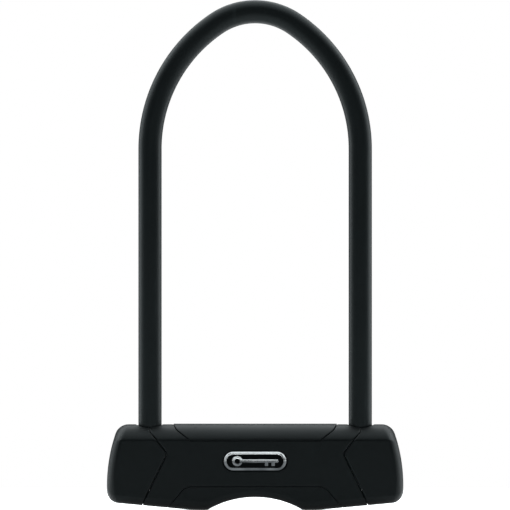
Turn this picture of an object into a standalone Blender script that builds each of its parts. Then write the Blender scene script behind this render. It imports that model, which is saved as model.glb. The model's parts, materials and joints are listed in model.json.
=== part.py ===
"""U lock for a bicycle: a coated steel shackle on a crossbar with a key cylinder underneath.

Frame: +X right, the front faces -Y, +Z up, origin midway between the legs on the surface that
the crossbar stands on. Lengths are metres, angles are degrees. The model rests unlocked, with
the shackle seated in its sockets and both bolts drawn in.
"""
import math

import bmesh
import bpy
from mathutils import Matrix, Vector

GAP = 0.0003                # between neighbouring pieces
LOOSE = 0.0006              # round the bolts and other sliding pieces
WELD = 0.00001
FLAT_ANGLE = 0.5            # faces closer than this are one flat face
SHADE_ANGLE = 35            # edges sharper than this stay crisp

# Shackle: legs, two flank arcs and a tighter arc over the top
LEG_X = 0.0605
SPRING_Z = 0.2078
FLANK_R = 0.087
APEX_R = 0.0396
COAT_R = 0.0067
COAT_WALL = 0.00065
CORE_R = 0.0058
FOOT_Z = 0.018
FOOT_CHAMFER = 0.0012
FLANK_STEPS = 10
APEX_STEPS = 10

# Crossbar cover, seen from the front
TOP_Z = 0.0493
HALF_DEPTH = 0.0155
WALL = 0.0023
END_R = 0.094               # the ends bulge on this radius
END_X = 0.08525             # widest place of an end
END_Z = 0.014
TOP_CORNER_R = 0.008
LOW_CORNER_R = 0.0072
LAND_X = 0.0336             # the flat it stands on runs out to here
LAND_BLEND_R = 0.030
UNDERSIDE_RISE = 5.26       # degrees, from the flat out to the ends
ARCH_R = 0.054
ARCH_TOP_Z = 0.0075
ARCH_CORNER_R = 0.005
EDGE_R = 0.0045
EDGE_STEPS = 3
CROWN_R = 0.01775           # the top is one arc over the whole depth
CROWN_MIDDLE_Z = TOP_Z - CROWN_R
CROWN_Z = 0.0402            # the flat face ends and the crown begins
CROWN_STEPS = 16
PANEL_PROUD = 0.00035

# Seams on the cover
CAP_SEAM = [(0.0605, 0.0452), (0.0506, 0.0329), (0.0629, 0.0077), (0.0650, 0.0020)]
CAP_SEAM_R = 0.004
UPPER_RIBS = (0.015, 0.030, 0.0515, 0.070)
LOWER_RIBS = (0.037, 0.055, 0.070)
CAP_HOLE_R = 0.0077         # the caps stand clear of the legs
SLEEVE_HOLE_R = 0.00705
TOP_SEAM = [(0.0475, 0.0500), (0.0452, 0.0461), (0.0375, 0.0401)]
LOW_SEAM = [(0.0515, -0.0001), (0.0411, 0.0123), (0.0376, 0.0137)]
BEYOND = 0.060              # cutters run out past the cover by this much

# Steel body and what it holds
BODY_HALF_X = 0.074
BODY_HALF_Y = 0.0126
BODY_LOW = 0.0116
BODY_TOP = 0.0415
BODY_WALL = 0.003
BODY_EDGE_R = 0.0025
INSERT_EDGE_R = 0.001
END_PLUG_X = 0.0713
SOCKET_X = (0.0505, 0.0710)
SOCKET_R = 0.0062
CARRIER_X = (0.0122, 0.0502)
BOLT_X = (0.0012, 0.0538)
BOLT_Z = (0.031, 0.037)
BOLT_HALF_Y = 0.005
BOLT_TRAVEL = 0.0042
NOTCH_X = 0.0584

# Cam disc on top of the cylinder, with a spiral slot for each bolt's pin
CAM_Z = (0.0264, 0.0307)
CAM_R = 0.0091
CAM_SLOT_Z = 0.0286
CAM_PIN_R = 0.0011
CAM_PIN_X = 0.0034
CAM_TURN = 90.0
TAIL_SIDE = 0.007

# Key cylinder, upright in the middle
HOUSING_Z = (0.0119, 0.0261)
HOUSING_R = 0.0092
BARREL_Z = (0.0121, 0.0261)
BARREL_R = 0.0066
BARREL_BORE_R = 0.0052
BARREL_BORE_TOP = 0.0239
RING_Z = (0.0247, 0.0253)
RING_R = (0.00625, 0.0071)
RING_OPENING = 50.0
SHIELD_Z = (0.0123, 0.0138)
DISC_R = 0.0049
DISC_THICK = 0.0015
DISC_COUNT = 5
DISC_CODE = 18.0            # each disc's key slot is cut at a multiple of this angle
KEYWAY = (0.0026, 0.0060)
SIDEBAR_ANGLE = 45.0
SIDEBAR_R = (0.0042, 0.0064)
SIDEBAR_WIDTH = 0.0013
PIN_X = 0.0102
PIN_Z = 0.019
PIN_R = 0.0014

# Dust cover, which slides round the arch over the key window
WINDOW_R = 0.006
COVER_R = (0.0566, 0.0575)
COVER_SPAN = (-6.6, 10.6)
COVER_TURN = 13.0
COVER_HALF_Y = 0.0076
NUB_ANGLE = 8.7
NUB_R = 0.0011
NUB_LOW_R = 0.0542
RAIL_THICK = 0.0012
RAIL_SPAN = 26.0

# Badge on the front
BADGE_Z = 0.0283
BADGE_SIZE = (0.0358, 0.0107)
POCKET_SIZE = (0.0380, 0.0128)
POCKET_DEEP = 0.0012
RING_WIDTH = 0.0015
KEY_HALF_LENGTH = 0.0132    # the key pictogram
KEY_BOW_R = 0.00295
KEY_SHAFT_HALF = 0.0009
KEY_BIT = 0.0019

ARCH_CENTRE = (0.0, ARCH_TOP_Z - ARCH_R)
TURNS = {
    "X": Matrix(((0, 0, 1, 0), (1, 0, 0, 0), (0, 1, 0, 0), (0, 0, 0, 1))),
    "Y": Matrix.Rotation(math.radians(90), 4, "X"),
    "Z": Matrix.Identity(4),
}
DIRECTIONS = {"X": Vector((1, 0, 0)), "Y": Vector((0, 1, 0)), "Z": Vector((0, 0, 1))}
SIDES = {"left": -1, "right": 1}


# ---------------------------------------------------------------- outlines

def arc(centre, radius, start, end, steps):
    """Points round a circle from one angle to another."""
    angles = [math.radians(start + (end - start) * i / steps) for i in range(steps + 1)]
    return [(centre[0] + radius * math.cos(a), centre[1] + radius * math.sin(a)) for a in angles]


def mirrored(points):
    """The same points across the middle plane, in the opposite order."""
    return [(-u, v) for u, v in reversed(points)]


def on_side(points, side):
    """An outline drawn for the right side, moved to the left one if side is -1."""
    return points if side > 0 else mirrored(points)


def rectangle(u0, u1, v0, v1):
    return [(u0, v0), (u1, v0), (u1, v1), (u0, v1)]


def rounded_rectangle(half_u, v0, v1, radius, steps=3):
    """A box outline centred on u = 0 with round corners."""
    right = arc((half_u - radius, v0 + radius), radius, -90, 0, steps)
    right += arc((half_u - radius, v1 - radius), radius, 0, 90, steps)
    return right + mirrored(right)


def stadium(width, height, centre_v, steps=8):
    """A rectangle with half-round ends."""
    radius = height / 2
    right = arc((width / 2 - radius, centre_v), radius, -90, 90, steps)
    return right + mirrored(right)


def moved_out(points, distance):
    """A counter-clockwise outline moved outwards by a distance, with mitred corners."""
    result = []
    for i, here in enumerate(points):
        before = Vector(here) - Vector(points[i - 1])
        after = Vector(points[(i + 1) % len(points)]) - Vector(here)
        normal_a = Vector((before.y, -before.x)).normalized()
        normal_b = Vector((after.y, -after.x)).normalized()
        mitre = (normal_a + normal_b) / (1 + normal_a.dot(normal_b))
        result.append(tuple(Vector(here) + mitre * distance))
    return result


def softened(points, index, radius, steps=5):
    """The open line of points with one corner replaced by an arc of the given radius."""
    corner = Vector(points[index])
    back = (Vector(points[index - 1]) - corner).normalized()
    ahead = (Vector(points[index + 1]) - corner).normalized()
    half = back.angle(ahead) / 2
    centre = corner + (back + ahead).normalized() * radius / math.sin(half)
    first = corner + back * radius / math.tan(half) - centre
    last = corner + ahead * radius / math.tan(half) - centre
    start = math.degrees(math.atan2(first.y, first.x))
    turn = math.degrees(math.atan2(first.x * last.y - first.y * last.x, first.dot(last)))
    return points[:index] + arc(centre, radius, start, start + turn, steps) + points[index + 1:]


def low_corner_centre():
    """Centre of the lower corner: one radius above the sloping underside, inside the end arc."""
    rise = math.radians(UNDERSIDE_RISE)
    along = Vector((math.cos(rise), math.sin(rise)))
    up = Vector((-along.y, along.x))
    start = Vector((LAND_X, LAND_BLEND_R)) - up * (LAND_BLEND_R - LOW_CORNER_R)
    offset = start - Vector((END_X - END_R, END_Z))
    middle = offset.dot(along)
    reach = END_R - LOW_CORNER_R
    travel = -middle + math.sqrt(middle ** 2 - offset.length_squared + reach ** 2)
    return start + along * travel


def crossbar_outline(inset):
    """Front outline of the crossbar, counter-clockwise, moved inwards by an inset."""
    end_centre = Vector((END_X - END_R, END_Z))
    reach = END_R - TOP_CORNER_R
    top_z = TOP_Z - TOP_CORNER_R
    top_centre = Vector((end_centre.x + math.sqrt(reach ** 2 - (top_z - END_Z) ** 2), top_z))
    low_centre = low_corner_centre()
    upper = math.degrees(math.asin((top_centre.y - end_centre.y) / reach))
    lower = math.degrees(math.asin((low_centre.y - end_centre.y) / (END_R - LOW_CORNER_R)))
    arch_reach = ARCH_R + ARCH_CORNER_R
    corner_x = math.sqrt(arch_reach ** 2 - (ARCH_CORNER_R - ARCH_CENTRE[1]) ** 2)
    corner = (corner_x, ARCH_CORNER_R)
    opening = math.degrees(math.asin(corner_x / arch_reach))
    under = UNDERSIDE_RISE - 90
    right = arc(ARCH_CENTRE, ARCH_R + inset, 90, 90 - opening, 8)[1:-1]
    right += arc(corner, ARCH_CORNER_R - inset, 270 - opening, 270, 3)
    right += arc((LAND_X, LAND_BLEND_R), LAND_BLEND_R - inset, -90, under, 2)
    right += arc(low_centre, LOW_CORNER_R - inset, under, lower, 6)
    right += arc(end_centre, END_R - inset, lower, upper, 6)[1:-1]
    right += arc(top_centre, TOP_CORNER_R - inset, upper, 90, 6)
    return [(0.0, ARCH_TOP_Z + inset)] + right + mirrored(right)


def crown_outline(inset):
    """Side section of the crossbar: open below, with one arc over the top."""
    half = HALF_DEPTH - inset
    radius = CROWN_R - inset
    start = math.degrees(math.acos(half / radius))
    points = arc((0.0, CROWN_MIDDLE_Z), radius, start, 180 - start, CROWN_STEPS)
    flare = half + HALF_DEPTH
    low = -HALF_DEPTH
    return [(-flare, low), (flare, low), (flare, CROWN_Z - HALF_DEPTH)] + points + [
        (-flare, CROWN_Z - HALF_DEPTH)]


def cap_region(side):
    """The part of the front view that an end cap takes up, outside its kinked seam."""
    seam = softened(CAP_SEAM, 1, CAP_SEAM_R)
    far = LEG_X + BEYOND
    region = [(LEG_X, BEYOND), *seam, (CAP_SEAM[-1][0], -BEYOND), (far, -BEYOND), (far, BEYOND)]
    return on_side(region, side)


def top_region():
    """The part of the front view that the raised top panel takes up."""
    seam = [(TOP_SEAM[0][0], BEYOND)] + TOP_SEAM
    return list(reversed(seam + mirrored(seam)))


def low_region():
    """The part of the front view that the bottom panel takes up."""
    seam = [(LOW_SEAM[0][0], -BEYOND)] + softened(LOW_SEAM, 1, INSERT_EDGE_R, 2)
    return seam + mirrored(seam)


def shackle_path(foot_z):
    """Centre line of the shackle from the right foot over the top to the left foot."""
    reach = FLANK_R - APEX_R
    join = math.degrees(math.acos((FLANK_R - LEG_X) / reach))
    apex_z = SPRING_Z + reach * math.sin(math.radians(join))
    half = [(LEG_X, foot_z)] + arc((LEG_X - FLANK_R, SPRING_Z), FLANK_R, 0, join, FLANK_STEPS)
    top = arc((0.0, apex_z), APEX_R, join, 180 - join, APEX_STEPS)
    return half + top[1:-1] + mirrored(half)


def spiral_slot(start_angle, half_width, steps=10):
    """Outline round a spiral whose radius grows evenly as the cam turns."""
    left, right, headings, middles = [], [], [], []
    for i in range(steps + 1):
        angle = math.radians(start_angle - CAM_TURN * i / steps)
        radius = CAM_PIN_X + BOLT_TRAVEL * i / steps
        out = Vector((math.cos(angle), math.sin(angle)))
        round_way = Vector((out.y, -out.x)) * radius * math.radians(CAM_TURN)
        heading = (out * BOLT_TRAVEL + round_way).normalized()
        aside = Vector((-heading.y, heading.x)) * half_width
        left.append(tuple(out * radius + aside))
        right.append(tuple(out * radius - aside))
        headings.append(math.degrees(math.atan2(heading.y, heading.x)))
        middles.append(out * radius)
    tip = arc(middles[-1], half_width, headings[-1] + 90, headings[-1] - 90, 6)[1:-1]
    root = arc(middles[0], half_width, headings[0] - 90, headings[0] - 270, 6)[1:-1]
    return left + tip + right[::-1] + root


# ---------------------------------------------------------------- Blender helpers

def clear_scene():
    for obj in list(bpy.data.objects):
        bpy.data.objects.remove(obj, do_unlink=True)


def new_collection(name):
    collection = bpy.data.collections.new(name)
    bpy.context.scene.collection.children.link(collection)
    return collection


def new_material(name, colour, roughness, metallic=0.0):
    material = bpy.data.materials.new(name)
    material.use_nodes = True
    shader = material.node_tree.nodes["Principled BSDF"]
    shader.inputs["Base Color"].default_value = (*colour, 1.0)
    shader.inputs["Roughness"].default_value = roughness
    shader.inputs["Metallic"].default_value = metallic
    material.diffuse_color = (*colour, 1.0)
    return material


def as_mesh(source, name, outward=False):
    """Replace an object by a mesh of its evaluated shape, with one skin's faces turned outward."""
    bpy.context.view_layer.update()
    evaluated = source.evaluated_get(bpy.context.evaluated_depsgraph_get())
    mesh = bpy.data.meshes.new_from_object(evaluated)
    mesh.transform(source.matrix_world)
    form = bmesh.new()
    form.from_mesh(mesh)
    bmesh.ops.remove_doubles(form, verts=form.verts, dist=WELD)
    bmesh.ops.dissolve_limit(form, angle_limit=math.radians(FLAT_ANGLE), verts=form.verts,
                             edges=form.edges)
    if outward:
        bmesh.ops.recalc_face_normals(form, faces=form.faces)
    form.to_mesh(mesh)
    form.free()
    bpy.data.objects.remove(source, do_unlink=True)
    mesh.name = name
    obj = bpy.data.objects.new(name, mesh)
    CUTTERS.objects.link(obj)
    obj.hide_render = True
    obj.display_type = "WIRE"
    return obj


def prism(name, outlines, low, high, axis="Y"):
    """Flat outlines, the first solid and the others holes, carried from low to high."""
    curve = bpy.data.curves.new(name, "CURVE")
    curve.dimensions = "2D"
    curve.fill_mode = "BOTH"
    curve.extrude = (high - low) / 2
    for outline in outlines:
        spline = curve.splines.new("POLY")
        spline.points.add(len(outline) - 1)
        spline.use_cyclic_u = True
        for point, (u, v) in zip(spline.points, outline):
            point.co = (u, v, 0, 1)
    obj = bpy.data.objects.new(name, curve)
    CUTTERS.objects.link(obj)
    obj.matrix_world = Matrix.Translation(DIRECTIONS[axis] * (low + high) / 2) @ TURNS[axis]
    return as_mesh(obj, name, outward=True)


def box(name, x, y, z):
    """A box between two values on each axis."""
    size = Vector((x[1] - x[0], y[1] - y[0], z[1] - z[0]))
    centre = Vector((x[0] + x[1], y[0] + y[1], z[0] + z[1])) / 2
    return primitive(name, "cube", Matrix.Translation(centre) @ Matrix.Diagonal((*size, 1)))


def rod(name, radius, low, high, axis="Z", at=(0, 0, 0), sides=32):
    """A round bar from low to high along an axis."""
    size = Matrix.Diagonal((radius, radius, high - low, 1))
    middle = Vector(at) + DIRECTIONS[axis] * (low + high) / 2
    return primitive(name, "rod", Matrix.Translation(middle) @ TURNS[axis] @ size, sides)


def primitive(name, kind, matrix, sides=32):
    """A unit cube or a unit cylinder, placed by a matrix that is applied to its mesh."""
    form = bmesh.new()
    if kind == "cube":
        bmesh.ops.create_cube(form, size=1, matrix=matrix)
    else:
        bmesh.ops.create_cone(form, cap_ends=True, segments=sides, radius1=1, radius2=1,
                              depth=1, matrix=matrix)
    mesh = bpy.data.meshes.new(name)
    form.to_mesh(mesh)
    form.free()
    obj = bpy.data.objects.new(name, mesh)
    CUTTERS.objects.link(obj)
    obj.hide_render = True
    obj.display_type = "WIRE"
    return obj


def tube(name, path, radius):
    """A round bar along a path in the plane of the shackle."""
    curve = bpy.data.curves.new(name, "CURVE")
    curve.dimensions = "3D"
    curve.bevel_depth = radius
    curve.bevel_resolution = 6
    curve.use_fill_caps = True
    spline = curve.splines.new("POLY")
    spline.points.add(len(path) - 1)
    for point, (x, z) in zip(spline.points, path):
        point.co = (x, 0, z, 1)
    obj = bpy.data.objects.new(name, curve)
    CUTTERS.objects.link(obj)
    return as_mesh(obj, name, outward=True)


def turned(name, profile, steps=36):
    """A closed profile, down its outer side and up its inner side, turned about the Z axis."""
    mesh = bpy.data.meshes.new(name)
    count = len(profile)
    edges = [(i, (i + 1) % count) for i in range(count)]
    mesh.from_pydata([(radius, 0, z) for radius, z in profile], edges, [])
    obj = bpy.data.objects.new(name, mesh)
    CUTTERS.objects.link(obj)
    screw = obj.modifiers.new("Turn", "SCREW")
    screw.steps = steps
    screw.render_steps = steps
    screw.use_merge_vertices = True
    screw.merge_threshold = WELD
    return as_mesh(obj, name, outward=True)


def boolean(obj, operation, *others):
    for other in others:
        modifier = obj.modifiers.new(operation.title(), "BOOLEAN")
        modifier.operation = operation
        modifier.solver = "EXACT"
        modifier.object = other
    return obj


def cut(obj, *cutters):
    return boolean(obj, "DIFFERENCE", *cutters)


def keep(obj, *regions):
    return boolean(obj, "INTERSECT", *regions)


def add(obj, *others):
    return boolean(obj, "UNION", *others)


def round_rims(obj, width, steps, angle=60):
    """Round the edges between faces that meet at more than an angle."""
    bevel = obj.modifiers.new("Rim", "BEVEL")
    bevel.width = width
    bevel.segments = steps
    bevel.limit_method = "ANGLE"
    bevel.angle_limit = math.radians(angle)
    return obj


def twin(obj, name):
    """A second object with its own copy of a finished mesh."""
    copy = bpy.data.objects.new(name, obj.data.copy())
    CUTTERS.objects.link(copy)
    copy.hide_render = True
    copy.display_type = "WIRE"
    return copy


def finished(obj, name, material, parent=None):
    """Make an object a visible piece of the lock."""
    CUTTERS.objects.unlink(obj)
    LOCK.objects.link(obj)
    obj.name = name
    obj.hide_render = False
    obj.display_type = "TEXTURED"
    obj.data.materials.clear()
    obj.data.materials.append(MATERIALS[material])
    obj.data.shade_smooth()
    obj.data.set_sharp_from_angle(angle=math.radians(SHADE_ANGLE))
    if parent:
        obj.parent = parent
        obj.matrix_parent_inverse = Matrix.Translation(-parent.location)
    return obj


def axis_empty(name, place):
    """An empty on a joint's axis, which the moving pieces hang from."""
    empty = bpy.data.objects.new(name, None)
    empty.location = place
    LOCK.objects.link(empty)
    return empty


# ---------------------------------------------------------------- shackle

def make_shackle():
    slide = axis_empty("shackle_slide", (0, 0, FOOT_Z))
    core = tube("core", shackle_path(FOOT_Z), CORE_R)
    round_rims(core, FOOT_CHAMFER, 1)
    for side in SIDES.values():
        reach = sorted((side * (LEG_X - 2 * CORE_R), side * NOTCH_X))
        notch = box("notch", reach, (-SOCKET_R, SOCKET_R), (BOLT_Z[0] - LOOSE, BOLT_Z[1] + LOOSE))
        cut(core, notch)
    finished(core, "shackle_core", "hardened steel", slide)
    coat_foot = BODY_TOP + GAP
    coat = tube("coat", shackle_path(coat_foot), COAT_R)
    cut(coat, tube("coat bore", shackle_path(coat_foot - WALL), COAT_R - COAT_WALL))
    finished(coat, "shackle_coating", "soft coating", slide)


# ---------------------------------------------------------------- crossbar cover

def crossbar_form(name, inset):
    """The rounded outer form of the crossbar, moved inwards by an inset."""
    half = HALF_DEPTH - inset
    form = prism(name, [crossbar_outline(inset)], -half, half)
    round_rims(form, EDGE_R - inset, EDGE_STEPS)
    keep(form, prism("crown", [crown_outline(inset)], -2 * END_X, 2 * END_X, "X"))
    return as_mesh(form, name)


def ribs():
    """Ribs that carry the steel body: pairs across the cover, and one up each end."""
    thick = WALL / 3
    half = HALF_DEPTH - 2 * WALL
    middle = (BODY_LOW + BODY_TOP) / 2
    upper, lower = (middle, TOP_Z), (0, middle)
    slabs = []
    for x, z in [(x, upper) for x in UPPER_RIBS] + [(x, lower) for x in LOWER_RIBS]:
        for side in SIDES.values():
            slabs.append(box("rib", (side * x - thick, side * x + thick), (-half, half), z))
    slabs += [box("end rib", sorted((side * BODY_HALF_X, side * END_X)), (-thick, thick),
                  (2 * WALL, TOP_Z - 2 * WALL)) for side in SIDES.values()]
    clearance = box("body space", (-BODY_HALF_X - GAP, BODY_HALF_X + GAP),
                    (-HALF_DEPTH, HALF_DEPTH), (BODY_LOW - GAP, BODY_TOP + GAP))
    return [cut(slab, clearance) for slab in slabs]


def make_cover():
    outer = crossbar_form("outer form", 0)
    cavity = cut(crossbar_form("cavity", WALL), *ribs())
    raised = cut(crossbar_form("raised form", -PANEL_PROUD), cavity)
    shell = as_mesh(cut(outer, cavity), "shell")
    reach = (-HALF_DEPTH - WALL, HALF_DEPTH + WALL)
    regions = {"left_end_cap": cap_region(-1), "right_end_cap": cap_region(1),
               "top_panel": top_region(), "bottom_panel": low_region()}
    sleeve = twin(shell, "sleeve")
    for name, outline in regions.items():
        inside = prism(name + " region", [moved_out(outline, -GAP / 2)], *reach)
        outside = prism(name + " space", [moved_out(outline, GAP / 2)], *reach)
        cut(sleeve, outside)
        base = as_mesh(raised, "raised shell") if name == "top_panel" else twin(shell, name)
        panel = keep(base, inside)
        if "cap" in name:
            side = SIDES[name.split("_")[0]]
            panel = cut(panel, leg_hole(side, CAP_HOLE_R))
        if name == "bottom_panel":
            panel = key_window(panel)
        finished(panel, name, "cover plastic")
    for side in SIDES.values():
        cut(sleeve, leg_hole(side, SLEEVE_HOLE_R))
    pocket_floor = -HALF_DEPTH + POCKET_DEEP
    cut(sleeve, prism("badge pocket", [stadium(*POCKET_SIZE, BADGE_Z)], -END_X, pocket_floor))
    finished(sleeve, "centre_sleeve", "cover plastic")


def leg_hole(side, radius):
    return rod("leg hole", radius, CROWN_Z, TOP_Z + WALL, at=(side * LEG_X, 0, 0))


def arch_sector(name, radii, span, y, steps=10):
    """A piece of a ring round the arch's axis, between two angles from straight up."""
    start, end = 90 - span[0], 90 - span[1]
    outline = arc(ARCH_CENTRE, radii[1], start, end, steps)
    outline += arc(ARCH_CENTRE, radii[0], end, start, steps)
    return prism(name, [outline], *y)


def key_window(panel):
    """The round key window with its side slot, and the rails that guide the dust cover."""
    rail_y = (COVER_HALF_Y + GAP, COVER_HALF_Y + GAP + RAIL_THICK)
    for y in (rail_y, (-rail_y[1], -rail_y[0])):
        rail = arch_sector("rail", (ARCH_R + WALL / 2, COVER_R[1]), (-RAIL_SPAN, RAIL_SPAN), y)
        add(panel, rail)
    slot_end = math.sin(math.radians(NUB_ANGLE + COVER_TURN)) * COVER_R[0] + NUB_R + GAP
    half = NUB_R + GAP
    window = rod("window", WINDOW_R, 0, BODY_LOW)
    return cut(panel, window, box("nub slot", (0, slot_end), (-half, half), (0, BODY_LOW)))


def make_dust_cover():
    turn = axis_empty("dust_cover_slide", (0, 0, ARCH_CENTRE[1]))
    plate = arch_sector("plate", COVER_R, COVER_SPAN, (-COVER_HALF_Y, COVER_HALF_Y))
    place = Matrix.Translation((0, 0, ARCH_CENTRE[1])) @ Matrix.Rotation(
        math.radians(NUB_ANGLE), 4, "Y")
    nub = rod("nub", NUB_R, NUB_LOW_R, sum(COVER_R) / 2, sides=16)
    nub.data.transform(place)
    finished(add(plate, nub), "keyhole_dust_cover", "cover plastic", turn)


# ---------------------------------------------------------------- steel body and bolts

def insert_outline():
    """Section of the pieces that fit inside the steel body."""
    return rounded_rectangle(BODY_HALF_Y - BODY_WALL - GAP, BODY_LOW + BODY_WALL + GAP,
                             BODY_TOP - BODY_WALL - GAP, INSERT_EDGE_R)


def make_body():
    outer = rounded_rectangle(BODY_HALF_Y, BODY_LOW, BODY_TOP, BODY_EDGE_R)
    inner = rounded_rectangle(BODY_HALF_Y - BODY_WALL, BODY_LOW + BODY_WALL,
                              BODY_TOP - BODY_WALL, INSERT_EDGE_R)
    body = prism("body", [outer, inner], -BODY_HALF_X, BODY_HALF_X, "X")
    middle = (BODY_LOW + BODY_TOP) / 2
    for side in SIDES.values():
        cut(body, rod("socket hole", SOCKET_R, middle, TOP_Z, at=(side * LEG_X, 0, 0)))
    cut(body, rod("cylinder hole", HOUSING_R + GAP, 0, middle))
    cut(body, rod("pin hole", PIN_R + GAP, -END_X, END_X, "Y", (PIN_X, 0, PIN_Z), 16))
    finished(body, "lock_body", "body steel")
    for name, side in SIDES.items():
        reach = sorted((side * END_PLUG_X, side * BODY_HALF_X))
        finished(prism("end plug", [insert_outline()], *reach, "X"), name + "_end_plug",
                 "body steel")


def bolt_channel(side, inner_x, outer_x):
    """The straight way that a bolt slides in."""
    half = BOLT_HALF_Y + GAP
    return box("bolt channel", sorted((side * inner_x, side * outer_x)), (-half, half),
               (BOLT_Z[0] - GAP, BOLT_Z[1] + GAP))


def make_socket(name, side):
    reach = sorted((side * SOCKET_X[0], side * SOCKET_X[1]))
    block = prism("socket block", [insert_outline()], *reach, "X")
    bore = rod("socket bore", SOCKET_R, FOOT_Z - LOOSE, TOP_Z, at=(side * LEG_X, 0, 0))
    cut(block, bore, bolt_channel(side, 0, LEG_X))
    finished(block, name + "_shackle_socket", "body steel")


def make_carrier(name, side):
    reach = sorted((side * CARRIER_X[0], side * CARRIER_X[1]))
    carrier = prism("carrier", [insert_outline()], *reach, "X")
    pocket_wall = 2 * BOLT_HALF_Y / 3
    length = (CARRIER_X[1] - CARRIER_X[0] - 3 * pocket_wall) / 2
    for i in range(2):
        start = CARRIER_X[0] + pocket_wall + i * (length + pocket_wall)
        pocket = box("pocket", sorted((side * start, side * (start + length))),
                     (-BOLT_HALF_Y - LOOSE, BOLT_HALF_Y + LOOSE), (0, CAM_SLOT_Z))
        cut(carrier, pocket)
    cut(carrier, bolt_channel(side, 0, SOCKET_X[1]))
    finished(carrier, name + "_bolt_carrier", "carrier plastic")


def make_bolt(name, side):
    slide = axis_empty(name + "_bolt_slide", (side * BOLT_X[0], 0, sum(BOLT_Z) / 2))
    reach = sorted((side * BOLT_X[0], side * BOLT_X[1]))
    bolt = box("bolt", reach, (-BOLT_HALF_Y, BOLT_HALF_Y), BOLT_Z)
    round_rims(bolt, LOOSE, 2)
    place = (side * CAM_PIN_X, 0, 0)
    pin = rod("cam pin", CAM_PIN_R, CAM_SLOT_Z + GAP, sum(BOLT_Z) / 2, at=place, sides=16)
    finished(add(bolt, pin), name + "_bolt", "bright steel", slide)


# ---------------------------------------------------------------- key cylinder

def across_sidebar(name, radii, width, z):
    """A box that reaches out from the axis at the sidebar's angle."""
    bar = box(name, radii, (-width / 2, width / 2), z)
    bar.data.transform(Matrix.Rotation(math.radians(SIDEBAR_ANGLE), 4, "Z"))
    return bar


def disc_low(index):
    """Underside of a locking disc in the stack."""
    return SHIELD_Z[1] + GAP + index * (DISC_THICK + GAP)


def make_housing():
    bore = BARREL_R + GAP
    groove = RING_R[1] + GAP
    low, high = HOUSING_Z
    profile = [(HOUSING_R, high), (HOUSING_R, low), (bore, low), (bore, RING_Z[0] - GAP),
               (groove, RING_Z[0] - GAP), (groove, RING_Z[1] + GAP), (bore, RING_Z[1] + GAP),
               (bore, high)]
    housing = turned("housing", profile)
    slot_z = (disc_low(0) - GAP, disc_low(DISC_COUNT))
    slot = across_sidebar("sidebar groove", (BARREL_R, groove), SIDEBAR_WIDTH + LOOSE, slot_z)
    pin_space = rod("pin space", PIN_R + GAP, -END_X, END_X, "Y", (PIN_X, 0, PIN_Z), 16)
    finished(cut(housing, slot, pin_space), "cylinder_housing", "brass")


def make_barrel(turn):
    low, high = BARREL_Z
    groove = RING_R[0] - GAP
    top_wall = [(BARREL_R, high), (BARREL_R, RING_Z[1] + GAP), (groove, RING_Z[1] + GAP),
                (groove, RING_Z[0] - GAP), (BARREL_R, RING_Z[0] - GAP), (BARREL_R, low),
                (BARREL_BORE_R, low), (BARREL_BORE_R, BARREL_BORE_TOP), (WELD, BARREL_BORE_TOP),
                (WELD, high)]
    barrel = turned("barrel", top_wall)
    half = TAIL_SIDE / 2
    tail_top = CAM_SLOT_Z - 2 * LOOSE
    tail = box("tail", (-half, half), (-half, half), (BARREL_BORE_TOP + GAP, tail_top))
    slot_z = (disc_low(0) - GAP, disc_low(DISC_COUNT))
    slot = across_sidebar("sidebar slot", (DISC_R, RING_R[1]), SIDEBAR_WIDTH + LOOSE, slot_z)
    finished(cut(add(barrel, tail), slot), "cylinder_barrel", "brass", turn)


def make_discs(turn):
    keyway = rectangle(-KEYWAY[0] / 2, KEYWAY[0] / 2, -KEYWAY[1] / 2, KEYWAY[1] / 2)
    shield = prism("shield", [arc((0, 0), DISC_R, 0, 350, 35), keyway], *SHIELD_Z, "Z")
    finished(shield, "keyway_shield", "hardened steel", turn)
    floor = SIDEBAR_R[0] - GAP
    half = SIDEBAR_WIDTH / 2 + GAP
    mouth = math.degrees(math.asin(half / DISC_R))
    for i in range(DISC_COUNT):
        notch = [(floor, -half), (floor, half)]
        rim = arc((0, 0), DISC_R, mouth, 360 - mouth, 30)
        low = disc_low(i)
        code = Matrix.Rotation(math.radians(DISC_CODE * (i * 3 % DISC_COUNT)), 2)
        slot = [tuple(code @ Vector(point)) for point in keyway]
        spin = Matrix.Rotation(math.radians(SIDEBAR_ANGLE), 2)
        outline = [tuple(spin @ Vector(point)) for point in rim + notch]
        disc = prism("disc", [outline, slot], low, low + DISC_THICK, "Z")
        finished(disc, "locking_disc_%d" % (i + 1), "brass", turn)
    bar_z = (disc_low(0), disc_low(DISC_COUNT) - GAP)
    bar = across_sidebar("bar", SIDEBAR_R, SIDEBAR_WIDTH, bar_z)
    finished(bar, "cylinder_sidebar", "bright steel", turn)


def make_cam(turn):
    disc = rod("cam", CAM_R, *CAM_Z, sides=40)
    half = TAIL_SIDE / 2 + GAP
    socket = box("tail socket", (-half, half), (-half, half), (0, CAM_SLOT_Z - LOOSE))
    slots = [prism("cam slot", [spiral_slot(start, CAM_PIN_R + GAP)], CAM_SLOT_Z, BODY_TOP, "Z")
             for start in (0, 180)]
    finished(cut(disc, socket, *slots), "bolt_cam", "hardened steel", turn)


def make_ring_and_pin():
    half = RING_OPENING / 2
    outline = arc((0, 0), RING_R[1], half, 360 - half, 28)
    outline += arc((0, 0), RING_R[0], 360 - half, half, 28)
    finished(prism("ring", [outline], *RING_Z, "Z"), "barrel_retaining_ring", "bright steel")
    reach = BODY_HALF_Y - GAP
    pin = rod("pin", PIN_R, -reach, reach, "Y", (PIN_X, 0, PIN_Z), 16)
    finished(pin, "cylinder_retaining_pin", "hardened steel")


# ---------------------------------------------------------------- badge

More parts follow.
